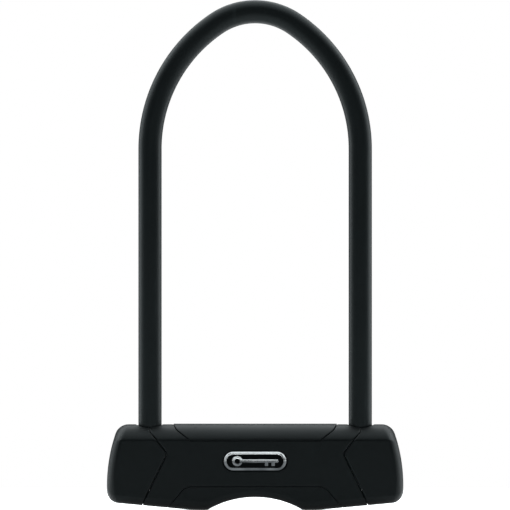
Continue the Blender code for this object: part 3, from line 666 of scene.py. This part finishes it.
FLANK_X = LEG_X - FLANK_R
JOIN_ANGLE = math.acos(-FLANK_X / (FLANK_R - APEX_R))
APEX_Z = SPRING_Z + (FLANK_R - APEX_R) * math.sin(JOIN_ANGLE)


def shackle_line(foot_z):
    """Middle line of the shackle from the right foot over the top to the left one.

    Returns its points (x, z) and the directions square to it: legs, two flank arcs, one apex arc.
    """
    leg = np.linspace(foot_z, SPRING_Z, 16)[:-1]
    flank = np.linspace(0, JOIN_ANGLE, 41)[:-1]
    apex = np.linspace(JOIN_ANGLE, np.pi / 2, 41)
    x = np.concatenate([0 * leg + LEG_X, FLANK_X + FLANK_R * np.cos(flank), APEX_R * np.cos(apex)])
    z = np.concatenate([leg, SPRING_Z + FLANK_R * np.sin(flank), APEX_Z + APEX_R * np.sin(apex)])
    turn = np.concatenate([0 * leg, flank, apex])
    square = np.stack([np.cos(turn), np.sin(turn)], axis=-1)
    line = np.stack([x, z], axis=-1)
    mirror = np.array([-1, 1])
    return (np.concatenate([line, line[::-1][1:] * mirror]),
            np.concatenate([square, square[::-1][1:] * mirror]))


def swept(line, square, radii, sides=64):
    """Rings square to the line: each point moves out by a radius, turning round the line."""
    angle = np.linspace(0, 2 * np.pi, sides + 1)
    angle[-1] = 0
    out = radii[:, None] * np.cos(angle)
    depth = -radii[:, None] * np.sin(angle)
    x = line[:, :1] + out * square[:, :1]
    z = line[:, 1:] + out * square[:, 1:]
    return np.stack([x, depth, z], axis=-1)


def coating():
    """The coating: an outer and an inner tube, joined by a half-round lip at each foot."""
    line, square = shackle_line(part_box("shackle_coating")[0].z + LIP_R)
    lip = np.linspace(0, np.pi, 9)[1:-1]
    middle = BORE_R + LIP_R
    down = np.stack([0 * lip, -LIP_R * np.sin(lip)], axis=-1)
    ends = [(line[-1] + down, middle + LIP_R * np.cos(lip)),
            (line[0] + down, middle - LIP_R * np.cos(lip))]
    flat = np.repeat(square[-1:], len(lip), axis=0)
    first = np.repeat(square[:1], len(lip), axis=0)
    points = np.concatenate([line, ends[0][0], line[::-1], ends[1][0]])
    ways = np.concatenate([square, flat, square[::-1], first])
    radii = np.concatenate([0 * line[:, 0] + COAT_R, ends[0][1], 0 * line[:, 0] + BORE_R,
                            ends[1][1]])
    return skin_mesh(swept(points, ways, radii), True)


def core():
    """The bar: rings along the line, with a chamfer and a pole at each foot.

    The chamfer's rings are given as shares of its size: how far down and how far in they lie.
    """
    line, square = shackle_line(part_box("shackle_core")[0].z + FOOT_CHAMFER)
    down = np.array([1.0, 1.0, 0.92, 0.06, 0.0]) * FOOT_CHAMFER
    inwards = np.array([CORE_R / FOOT_CHAMFER, 1.06, 0.94, 0.02, 0.0]) * FOOT_CHAMFER
    radii = CORE_R - inwards
    low = np.stack([0 * down, -down], axis=-1)
    points = np.concatenate([line[:1] + low, line[1:-1], line[-1:] + low[::-1]])
    ways = np.concatenate([np.repeat(square[:1], len(down), axis=0), square[1:-1],
                           np.repeat(square[-1:], len(down), axis=0)])
    widths = np.concatenate([radii, 0 * line[2:, 0] + CORE_R, radii[::-1]])
    return skin_mesh(swept(points, ways, widths))


# ---------------------------------------------------------------- solids for small pieces

def prism_mesh(outline, depth, along="Y"):
    """A closed prism over an outline: along Y it is (x, z), along X (y, z), along Z (x, y)."""
    outline = np.asarray(outline, float)
    following = np.roll(outline, -1, axis=0)
    area = np.sum(outline[:, 0] * following[:, 1] - outline[:, 1] * following[:, 0])
    if (area < 0) != (along == "Y"):
        outline = outline[::-1]
    low, high = (np.full((len(outline), 1), d) for d in depth)
    order = {"Y": (0, 2, 1), "X": (2, 0, 1), "Z": (0, 1, 2)}[along]
    points = np.concatenate([np.hstack([outline, low]), np.hstack([outline, high])])[:, order]
    count = len(outline)
    sides = [[k, (k + 1) % count, (k + 1) % count + count, k + count] for k in range(count)]
    return points, [list(range(count))[::-1], list(range(count, 2 * count))] + sides


def prism(name, outline, depth, along="Y"):
    """An object of one prism."""
    return make_object(name, *prism_mesh(outline, depth, along), None)


def together(*solids):
    """Several closed meshes as one."""
    points, faces, count = [], [], 0
    for corners, rings in solids:
        points.append(corners)
        faces += [[v + count for v in ring] for ring in rings]
        count += len(corners)
    return np.concatenate(points), faces


def backing(side):
    """A web inside the cover, behind the seams that run under the steel body."""
    x = np.linspace(*BACKING_X, 12)
    low = underside(x) + WALL + BACKING_GAP
    outline = np.concatenate([np.stack([x, low], -1), [(BACKING_X[1], BACKING_TOP_Z),
                                                       (BACKING_X[0], BACKING_TOP_Z)]])
    return prism_mesh(outline * np.array([side, 1]), (-BACKING_HALF_Y, BACKING_HALF_Y))


def combined(obj, other, operation):
    """The first solid joined with, cut by or limited to the other, which is then removed."""
    change = obj.modifiers.new(operation, "BOOLEAN")
    change.operation = operation
    change.solver = "EXACT"
    change.object = other
    settle(obj)
    bpy.data.objects.remove(other)
    return obj


def settle(obj):
    """Put an object's modifiers into its mesh."""
    bpy.context.view_layer.update()
    done = obj.evaluated_get(bpy.context.evaluated_depsgraph_get())
    mesh = bpy.data.meshes.new_from_object(done)
    obj.modifiers.clear()
    obj.data = mesh


def shade_again(obj, angle):
    """Shading of a mesh that has been cut."""
    obj.data.shade_smooth()
    obj.data.set_sharp_from_angle(angle=math.radians(angle))


def trimmed(obj, width, material, segments=3):
    """Round a small solid's edges and give it its material and shading."""
    bevel = obj.modifiers.new("edges", "BEVEL")
    bevel.width = width
    bevel.segments = segments
    bevel.limit_method = "ANGLE"
    bevel.angle_limit = math.radians(25)
    settle(obj)
    obj.data.materials.clear()
    obj.data.materials.append(material)
    shade_again(obj, 30)
    return obj


def circle(radius, count, middle=(0, 0)):
    """Points round a circle."""
    angle = np.linspace(0, 2 * np.pi, count, endpoint=False)
    return np.stack([middle[0] + radius * np.cos(angle), middle[1] + radius * np.sin(angle)], -1)


def stadium(size, count=24):
    """A stadium round the badge's middle: two half circles joined by straight lines."""
    radius = size[1] / 2
    reach = size[0] / 2 - radius
    turn = np.linspace(-np.pi / 2, np.pi / 2, count + 1)
    right = np.stack([reach + radius * np.cos(turn), BADGE_Z + radius * np.sin(turn)], -1)
    left = np.stack([-reach - radius * np.cos(turn), BADGE_Z - radius * np.sin(turn)], -1)
    return np.concatenate([right, left])


def roof(front, fall):
    """A bar behind two planes that meet in a ridge at the badge's mid height."""
    reach = BADGE_RING[1]
    outline = [(-front, BADGE_Z), (-front + fall, BADGE_Z + reach), (-BADGE_BACK, BADGE_Z + reach),
               (-BADGE_BACK, BADGE_Z - reach), (-front + fall, BADGE_Z - reach)]
    return prism("roof", outline, (-BADGE_RING[0], BADGE_RING[0]), "X")


def badge_ring(material):
    """The chrome ring, folded along its middle, with soft edges."""
    ring = prism("badge_ring_chrome", stadium(BADGE_RING, 40), BADGE_REACH)
    hole = [size - 2 * RING_WIDTH for size in BADGE_RING]
    combined(ring, prism("hole", stadium(hole, 40), (-HALF_DEPTH - WALL, 0)), "DIFFERENCE")
    combined(ring, roof(BADGE_FRONT, BADGE_FALL), "INTERSECT")
    return trimmed(ring, 0.16 * MM, material, 3)


def badge_key(material):
    """A plain key lying on its side: a round bow, a shaft and two bits."""
    middle = (KEY_BOW_R - KEY_HALF, BADGE_Z)
    key = prism("badge_key_chrome", circle(KEY_BOW_R, 64, middle), BADGE_REACH)
    low, high = BADGE_Z - KEY_SHAFT, BADGE_Z + KEY_SHAFT
    shaft = [(middle[0], low), (KEY_HALF, low), (KEY_HALF, high), (middle[0], high)]
    combined(key, prism("shaft", shaft, BADGE_REACH), "UNION")
    for place in (4, 2):
        start = KEY_HALF - place * KEY_BIT
        end = start + KEY_BIT
        bit = [(start, low - KEY_BIT), (end, low - KEY_BIT), (end, BADGE_Z), (start, BADGE_Z)]
        combined(key, prism("bit", bit, BADGE_REACH), "UNION")
    hole = prism("eye", circle(KEY_BOW_R / 2, 48, middle), (-HALF_DEPTH - WALL, 0))
    combined(key, hole, "DIFFERENCE")
    combined(key, roof(BADGE_FRONT, BADGE_FALL), "INTERSECT")
    return trimmed(key, 0.12 * MM, material, 2)


def window_cutter():
    """What the key window and the dust cover's slot take out of the bottom panel."""
    window = prism("window", circle(WINDOW_R, 96), WINDOW_REACH, "Z")
    slot = [(0, -NUB_HALF), (SLOT_X, -NUB_HALF), (SLOT_X, NUB_HALF), (0, NUB_HALF)]
    return combined(window, prism("slot", slot, WINDOW_REACH, "Z"), "UNION")


def dust_cover(material):
    """A slat curved round the arch's axis, with a nub that reaches down through the slot."""
    angles = np.radians(np.linspace(*COVER_SPAN, 40))
    ring = np.stack([np.sin(angles), np.cos(angles)], -1)
    middle = np.array([0, ARCH_LOW])
    outline = np.concatenate([middle + ring * COVER_R[0], middle + ring[::-1] * COVER_R[1]])
    slat = prism("dust_cover_slat", outline, (-COVER_HALF_Y, COVER_HALF_Y))
    turn = math.radians(NUB_ANGLE)
    nub = prism("nub", circle(NUB_R, 32), (NUB_LOW_R, sum(COVER_R) / 2), "Z")
    points = np.array([v.co for v in nub.data.vertices])
    x = points[:, 0] * math.cos(turn) + points[:, 2] * math.sin(turn)
    z = points[:, 2] * math.cos(turn) - points[:, 0] * math.sin(turn) + ARCH_LOW
    nub.data.vertices.foreach_set("co", np.stack([x, points[:, 1], z], -1).ravel())
    return trimmed(combined(slat, nub, "UNION"), 0.15 * MM, material)


# ---------------------------------------------------------------- shared effects

class Graph:
    """A node tree with short ways to add and join nodes."""

    def __init__(self, tree):
        self.tree = tree
        self.nodes = tree.nodes

    def add(self, kind, fields=None, **values):
        """A new node: fields sets its options, values sets or joins its inputs by name."""
        node = self.nodes.new(kind)
        for key, value in (fields or {}).items():
            setattr(node, key, value)
        for key, value in values.items():
            self.join(value, node.inputs[key.replace("_", " ")])
        return node

    def join(self, value, socket):
        """Join another node's output to a socket, or set the socket's number."""
        if isinstance(value, bpy.types.NodeSocket):
            self.tree.links.new(value, socket)
        else:
            socket.default_value = value

    def math(self, operation, first, second):
        """One sum, product or other result of two values."""
        node = self.add("ShaderNodeMath", {"operation": operation})
        self.join(first, node.inputs[0])
        self.join(second, node.inputs[1])
        return node.outputs[0]

    def spread(self, value, low, high, to_low, to_high):
        """Map a value from one range to another, held at both ends."""
        node = self.add("ShaderNodeMapRange", None, Value=value, From_Min=low, From_Max=high,
                        To_Min=to_low, To_Max=to_high)
        return node.outputs[0]

    def noise(self, place, scale, detail=3.0, rough=0.5):
        """Soft noise between 0 and 1."""
        node = self.add("ShaderNodeTexNoise", None, Vector=place, Scale=scale, Detail=detail,
                        Roughness=rough)
        return node.outputs["Fac"]

    def mix(self, share, first, second):
        """A colour between two colours."""
        node = self.add("ShaderNodeMix", {"data_type": "RGBA"})
        for value, socket in ((share, node.inputs[0]), (first, node.inputs[6]),
                              (second, node.inputs[7])):
            self.join(value, socket)
        return node.outputs[2]


def new_group(name, inputs, outputs):
    """A node group with sockets given as (name, kind, value); returns it, its graph and ends."""
    tree = bpy.data.node_groups.new(name, "ShaderNodeTree")
    for way, sockets in (("INPUT", inputs), ("OUTPUT", outputs)):
        for title, kind, value in sockets:
            socket = tree.interface.new_socket(title, in_out=way, socket_type="NodeSocket" + kind)
            if value is not None:
                socket.default_value = value
    graph = Graph(tree)
    return tree, graph, graph.add("NodeGroupInput").outputs, graph.add("NodeGroupOutput").inputs


def grain_group():
    """Fine moulded grain over a very shallow waviness, as a normal."""
    tree, g, given, out = new_group(
        "moulded grain",
        [("Grain Size", "Float", 2600.0), ("Grain", "Float", 0.1), ("Waves", "Float", 0.05)],
        [("Normal", "Vector", None)])
    place = g.add("ShaderNodeTexCoord").outputs["Object"]
    fine = g.noise(place, given["Grain Size"], 2.0, 0.6)
    wide = g.noise(place, 70.0, 1.0)
    waves = g.add("ShaderNodeBump", None, Strength=given["Waves"], Distance=0.001, Height=wide)
    grain = g.add("ShaderNodeBump", None, Strength=given["Grain"], Distance=0.0001, Height=fine,
                  Normal=waves.outputs[0])
    g.join(grain.outputs[0], out["Normal"])
    return tree


def handling_group():
    """Masks of use: soft smudges, and thin scratches that gather in patches."""
    tree, g, given, out = new_group(
        "handling", [("Patch Scale", "Float", 28.0)],
        [("Smudge", "Float", None), ("Scratch", "Float", None)])
    place = g.add("ShaderNodeTexCoord").outputs["Object"]
    smudge = g.spread(g.noise(place, given["Patch Scale"], 4.0, 0.55), 0.35, 0.7, 0.0, 1.0)
    g.join(smudge, out["Smudge"])
    marks = []
    for turn, scale in ((0.5, 260.0), (-0.9, 340.0)):
        lean = g.add("ShaderNodeMapping", None, Vector=place, Rotation=(0.2, turn, 0.4),
                     Scale=(1.0, 1.0, 0.045))
        line = g.noise(lean.outputs[0], scale, 1.0)
        marks.append(g.spread(line, 0.665, 0.70, 0.0, 1.0))
    patch = g.spread(g.noise(place, 55.0, 2.0), 0.5, 0.66, 0.0, 1.0)
    g.join(g.math("MULTIPLY", g.math("MAXIMUM", *marks), patch), out["Scratch"])
    return tree


def machined_group():
    """Marks of turning or rolling along one axis, as a mask and a normal."""
    tree, g, given, out = new_group(
        "machined", [("Stretch", "Vector", (1.0, 1.0, 0.03)), ("Depth", "Float", 0.15)],
        [("Streak", "Float", None), ("Normal", "Vector", None)])
    place = g.add("ShaderNodeTexCoord").outputs["Object"]
    lean = g.add("ShaderNodeMapping", None, Vector=place, Scale=given["Stretch"])
    streak = g.noise(lean.outputs[0], 1400.0, 3.0, 0.6)
    bump = g.add("ShaderNodeBump", None, Strength=given["Depth"], Distance=0.0001, Height=streak)
    g.join(streak, out["Streak"])
    g.join(bump.outputs[0], out["Normal"])
    return tree


GRAIN = grain_group()
HANDLING = handling_group()
MACHINED = machined_group()


# ---------------------------------------------------------------- materials

COOL_SHEEN = (0.86, 0.98, 1.0, 1)
BADGE_BRIGHT = (0.90, 0.92, 0.93, 1)
# Painted dark reflection: the badge chrome's lower half is coloured nearly black to stand for the
# dark surroundings it reflects.
BADGE_PAINTED_DARK_REFLECTION = (0.042, 0.046, 0.049, 1)
BADGE_HAZE = (0.4, 0.41, 0.42, 1)
BADGE_REFLECTION_CHANGE = 0.15 * MM    # half of the height over which the badge turns from bright chrome to the painted dark reflection


def new_material(name, **settings):
    """A material: its graph and its shader, with uniform numbers set on the shader."""
    material = bpy.data.materials.new(name)
    material.use_nodes = True
    graph = Graph(material.node_tree)
    shader = graph.nodes["Principled BSDF"]
    for key, value in settings.items():
        shader.inputs[key.replace("_", " ")].default_value = value
    return material, graph, shader.inputs


def grouped(graph, tree, **values):
    """A use of a node group with some inputs set."""
    return graph.add("ShaderNodeGroup", {"node_tree": tree}, **values).outputs


def plastic(name, base, worn, rough, grain_size, grain, waves, level):
    """Dark moulded plastic: grain, faint smudges that change the gloss, and a few scratches."""
    material, g, shader = new_material(name, Specular_IOR_Level=level, Specular_Tint=COOL_SHEEN)
    marks = grouped(g, HANDLING)
    tint = g.mix(g.math("MULTIPLY", marks["Smudge"], 0.35), (*base, 1), (*worn, 1))
    tint = g.mix(g.math("MULTIPLY", marks["Scratch"], 0.22), tint,
                 tuple(3 * c for c in worn) + (1,))
    g.join(tint, shader["Base Color"])
    gloss = g.spread(marks["Smudge"], 0, 1, rough - 0.025, rough + 0.025)
    g.join(g.math("ADD", gloss, g.math("MULTIPLY", marks["Scratch"], 0.08)), shader["Roughness"])
    normal = grouped(g, GRAIN, Grain_Size=grain_size, Grain=grain, Waves=waves)["Normal"]
    g.join(normal, shader["Normal"])
    return material


def steel(name, light, dark, rough, stretch, depth):
    """Bare or blackened metal with streaks along its working direction."""
    material, g, shader = new_material(name, Metallic=1.0)
    marks = grouped(g, MACHINED, Stretch=stretch, Depth=depth)
    used = grouped(g, HANDLING, Patch_Scale=60.0)
    tint = g.mix(g.spread(marks["Streak"], 0.3, 0.7, 0, 1), (*dark, 1), (*light, 1))
    tint = g.mix(g.math("MULTIPLY", used["Smudge"], 0.3), tint, tuple(0.8 * c for c in light) + (1,))
    g.join(tint, shader["Base Color"])
    g.join(g.spread(used["Smudge"], 0, 1, rough - 0.04, rough + 0.06), shader["Roughness"])
    g.join(marks["Normal"], shader["Normal"])
    return material


def chrome_with_painted_reflection():
    """Polished badge metal with a painted reflection: bright chrome over the middle line and painted
    dark below it, standing in for the dark surroundings its lower half reflects, with fine haze.
    """
    material, g, shader = new_material("badge chrome with painted reflection", Metallic=1.0)
    place = g.add("ShaderNodeTexCoord").outputs["Object"]
    height = g.add("ShaderNodeSeparateXYZ", None, Vector=place).outputs["Z"]
    # Painted reflection: a sharp step in height from the painted dark lower half to the bright upper
    # half.
    above = g.spread(height, BADGE_Z - BADGE_REFLECTION_CHANGE, BADGE_Z + BADGE_REFLECTION_CHANGE, 0, 1)
    tint = g.mix(above, BADGE_PAINTED_DARK_REFLECTION, BADGE_BRIGHT)
    used = grouped(g, HANDLING, Patch_Scale=120.0)
    haze = g.mix(g.math("MULTIPLY", used["Smudge"], 0.15), tint, BADGE_HAZE)
    g.join(haze, shader["Base Color"])
    g.join(g.spread(used["Smudge"], 0, 1, 0.16, 0.24), shader["Roughness"])
    normal = grouped(g, GRAIN, Grain_Size=1800.0, Grain=0.02, Waves=0.04)["Normal"]
    g.join(normal, shader["Normal"])
    return material


COVER_BLACK = plastic("cover plastic satin", (0.0010, 0.0015, 0.0017), (0.0014, 0.0022, 0.0023),
                      0.45, 2600.0, 0.12, 0.05, 0.115)
COAT_BLACK = plastic("coating satin", (0.0040, 0.0054, 0.0058), (0.0058, 0.0074, 0.0078),
                     0.44, 900.0, 0.05, 0.10, 0.12)
CARRIER_BLACK = plastic("carrier plastic matt", (0.010, 0.011, 0.011), (0.014, 0.015, 0.015),
                        0.58, 1900.0, 0.2, 0.05, 0.4)
BADGE_DARK = plastic("badge floor dark", (0.0006, 0.0008, 0.001), (0.0010, 0.0012, 0.0014),
                     0.45, 3200.0, 0.08, 0.02, 0.03)
HARD_STEEL = steel("hardened steel ground", (0.26, 0.26, 0.27), (0.18, 0.18, 0.19), 0.34,
                   (0.03, 1.0, 1.0), 0.12)
BODY_STEEL = steel("body steel blackened", (0.20, 0.20, 0.21), (0.12, 0.12, 0.13), 0.46,
                   (0.03, 1.0, 1.0), 0.2)
BRIGHT_STEEL = steel("bright steel milled", (0.50, 0.50, 0.51), (0.40, 0.40, 0.41), 0.24,
                     (0.03, 1.0, 1.0), 0.1)
BRASS = steel("cylinder brass turned", (0.78, 0.58, 0.27), (0.66, 0.46, 0.19), 0.3,
              (1.0, 1.0, 0.03), 0.12)
# Badge chrome with a painted dark reflection on its lower half.
CHROME_PAINTED_REFLECTION = chrome_with_painted_reflection()

SLOT_MATERIALS = {
    "hardened_steel": HARD_STEEL, "soft_coating": COAT_BLACK, "cover_plastic": COVER_BLACK,
    "body_steel": BODY_STEEL, "carrier_plastic": CARRIER_BLACK, "bright_steel": BRIGHT_STEEL,
    "cylinder_brass": BRASS, "badge_chrome": CHROME_PAINTED_REFLECTION,
}


# ---------------------------------------------------------------- the lock

SLOTS = {part["node"]: part["material_slot"] for part in frame["record"]["subparts"]}


def stand_for(piece, node, body):
    """Let a piece stand for a frame node: what it moves with and what it replaces."""
    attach(piece, body)
    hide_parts(node)


def finish_frame():
    """Give the frame's own meshes, which stay shown inside the lock, the finer materials."""
    for name, node in frame["nodes"].items():
        node.data.materials.clear()
        node.data.materials.append(SLOT_MATERIALS[SLOTS[name]])


def build_cover():
    """Sleeve, two panels and two caps, with the dust cover in the arch."""
    sleeve = shell_mesh([wing(1), wing(-1), front_middle(), back_middle()])
    sleeve = together(sleeve, backing(1), backing(-1))
    stand_for(make_object("sleeve_shell", *sleeve, COVER_BLACK), "centre_sleeve", "crossbar")
    top = shell_mesh([top_panel_block()])
    stand_for(make_object("top_panel_shell", *top, COVER_BLACK), "top_panel", "crossbar")
    low = make_object("bottom_panel_shell", *shell_mesh([bottom_panel_block()]), COVER_BLACK)
    combined(low, window_cutter(), "DIFFERENCE")
    shade_again(low, 40)
    stand_for(low, "bottom_panel", "crossbar")
    for name, side in (("left", -1), ("right", 1)):
        cap = make_object(name + "_cap_shell", *shell_mesh([cap_block(side)]), COVER_BLACK)
        stand_for(cap, name + "_end_cap", "crossbar")
    stand_for(dust_cover(COVER_BLACK), "keyhole_dust_cover", "dust_cover")


def build_shackle():
    """The coating, and the bar with a notch for the bolt in the inner side of each foot."""
    coat = make_object("shackle_coat", *coating(), COAT_BLACK)
    stand_for(coat, "shackle_coating", "shackle")
    bar = make_object("shackle_bar", *core(), HARD_STEEL)
    for side in (-1, 1):
        x = sorted((side * (LEG_X - 2 * CORE_R), side * NOTCH_X))
        outline = [(x[0], NOTCH_Z[0]), (x[1], NOTCH_Z[0]), (x[1], NOTCH_Z[1]), (x[0], NOTCH_Z[1])]
        combined(bar, prism("notch", outline, (-COAT_R, COAT_R)), "DIFFERENCE")
    shade_again(bar, 35)
    stand_for(bar, "shackle_core", "shackle")


def build_badge():
    """The dark plate in the pocket, with the chrome ring and key on it, whose lower halves carry a
    painted dark reflection.
    """
    plate = prism("badge_floor", stadium(PLATE, 40), PLATE_REACH)
    stand_for(trimmed(plate, 0.1 * MM, BADGE_DARK), "badge_plate", "crossbar")
    stand_for(badge_ring(CHROME_PAINTED_REFLECTION), "badge_ring", "crossbar")
    stand_for(badge_key(CHROME_PAINTED_REFLECTION), "badge_key_emblem", "crossbar")


# ---------------------------------------------------------------- stage

FLOOR_FADE = (0.45, 0.95)   # distances between which the floor fades out
VIEW_HEIGHT = 293.5 * MM
CAMERA_AWAY = 10.0
SENSOR = 36                 # width of the camera's sensor in millimetres


def panel_light(name, place, target, size, power):
    """A soft, slightly cool rectangular light that faces a target."""
    data = bpy.data.lights.new(name, "AREA")
    data.shape = "RECTANGLE"
    data.size, data.size_y = size
    data.energy = power
    data.color = (0.93, 0.985, 1.0)
    light = bpy.data.objects.new(name, data)
    light.location = place
    light.rotation_euler = (Vector(target) - Vector(place)).to_track_quat("-Z", "Y").to_euler()
    bpy.context.scene.collection.objects.link(light)


def build_floor():
    """A pale disc that fades out into the white behind it."""
    material, g, shader = new_material("studio floor", Roughness=0.9, Specular_IOR_Level=0.1,
                                       Emission_Color=(1, 1, 1, 1), Emission_Strength=0.5)
    place = g.add("ShaderNodeTexCoord").outputs["Object"]
    tone = g.spread(g.noise(place, 3.0, 2.0), 0.3, 0.7, 0.9, 0.92)
    g.join(g.add("ShaderNodeCombineColor", None, Red=tone, Green=tone, Blue=tone).outputs[0],
           shader["Base Color"])
    reach = g.add("ShaderNodeVectorMath", {"operation": "LENGTH"})
    g.join(place, reach.inputs[0])
    g.join(g.spread(reach.outputs["Value"], *FLOOR_FADE, 1, 0), shader["Alpha"])
    radius = np.linspace(0, 1, 25)[:, None]
    angle = np.linspace(0, 2 * np.pi, 73)[None, :]
    angle[0, -1] = 0
    points = np.stack([radius * np.cos(angle), radius * np.sin(angle), 0 * radius * angle], -1)
    make_object("floor", *skin_mesh(points), material)


def build_world():
    """Bright behind everything the camera sees, and dim for what the lock reflects."""
    world = bpy.data.worlds.new("studio")
    bpy.context.scene.world = world
    world.use_nodes = True
    g = Graph(world.node_tree)
    g.nodes.clear()
    seen = g.add("ShaderNodeLightPath").outputs["Is Camera Ray"]
    dim = g.add("ShaderNodeBackground", None, Color=(0.9, 0.95, 1.0, 1), Strength=0.02)
    bright = g.add("ShaderNodeBackground", None, Color=(1, 1, 1, 1), Strength=1.0)
    mix = g.add("ShaderNodeMixShader")
    g.join(seen, mix.inputs[0])
    g.join(dim.outputs[0], mix.inputs[1])
    g.join(bright.outputs[0], mix.inputs[2])
    out = g.add("ShaderNodeOutputWorld")
    g.join(mix.outputs[0], out.inputs["Surface"])


def build_camera():
    """A long lens level with the middle of the lock, which fills the height of the frame."""
    data = bpy.data.cameras.new("camera")
    camera = bpy.data.objects.new("camera", data)
    bpy.context.scene.collection.objects.link(camera)
    data.sensor_width = SENSOR
    data.lens = SENSOR * CAMERA_AWAY / VIEW_HEIGHT
    data.clip_end = 100 * CAMERA_AWAY
    camera.location = (-0.08 * MM, -CAMERA_AWAY, 146.7 * MM)
    camera.rotation_euler = (math.pi / 2, 0, 0)
    bpy.context.scene.camera = camera


def build_stage():
    """White surroundings, a wide light overhead, a strip at each side and a faint one in front."""
    build_floor()
    build_world()
    aim = (0, 0, 0.14)
    panel_light("top light", (0, 0.3, 1.1), aim, (2.4, 1.8), 42)
    panel_light("left strip", (-0.8, 0.28, 0.3), aim, (0.7, 1.0), 8.0)
    panel_light("right strip", (0.8, 0.28, 0.3), aim, (0.7, 1.0), 8.6)
    panel_light("badge glow", (0, -1.4, 0.54), aim, (1.2, 0.4), 1.4)
    build_camera()
    bpy.context.scene.view_settings.view_transform = "Standard"


finish_frame()
build_cover()
build_shackle()
build_badge()
build_stage()
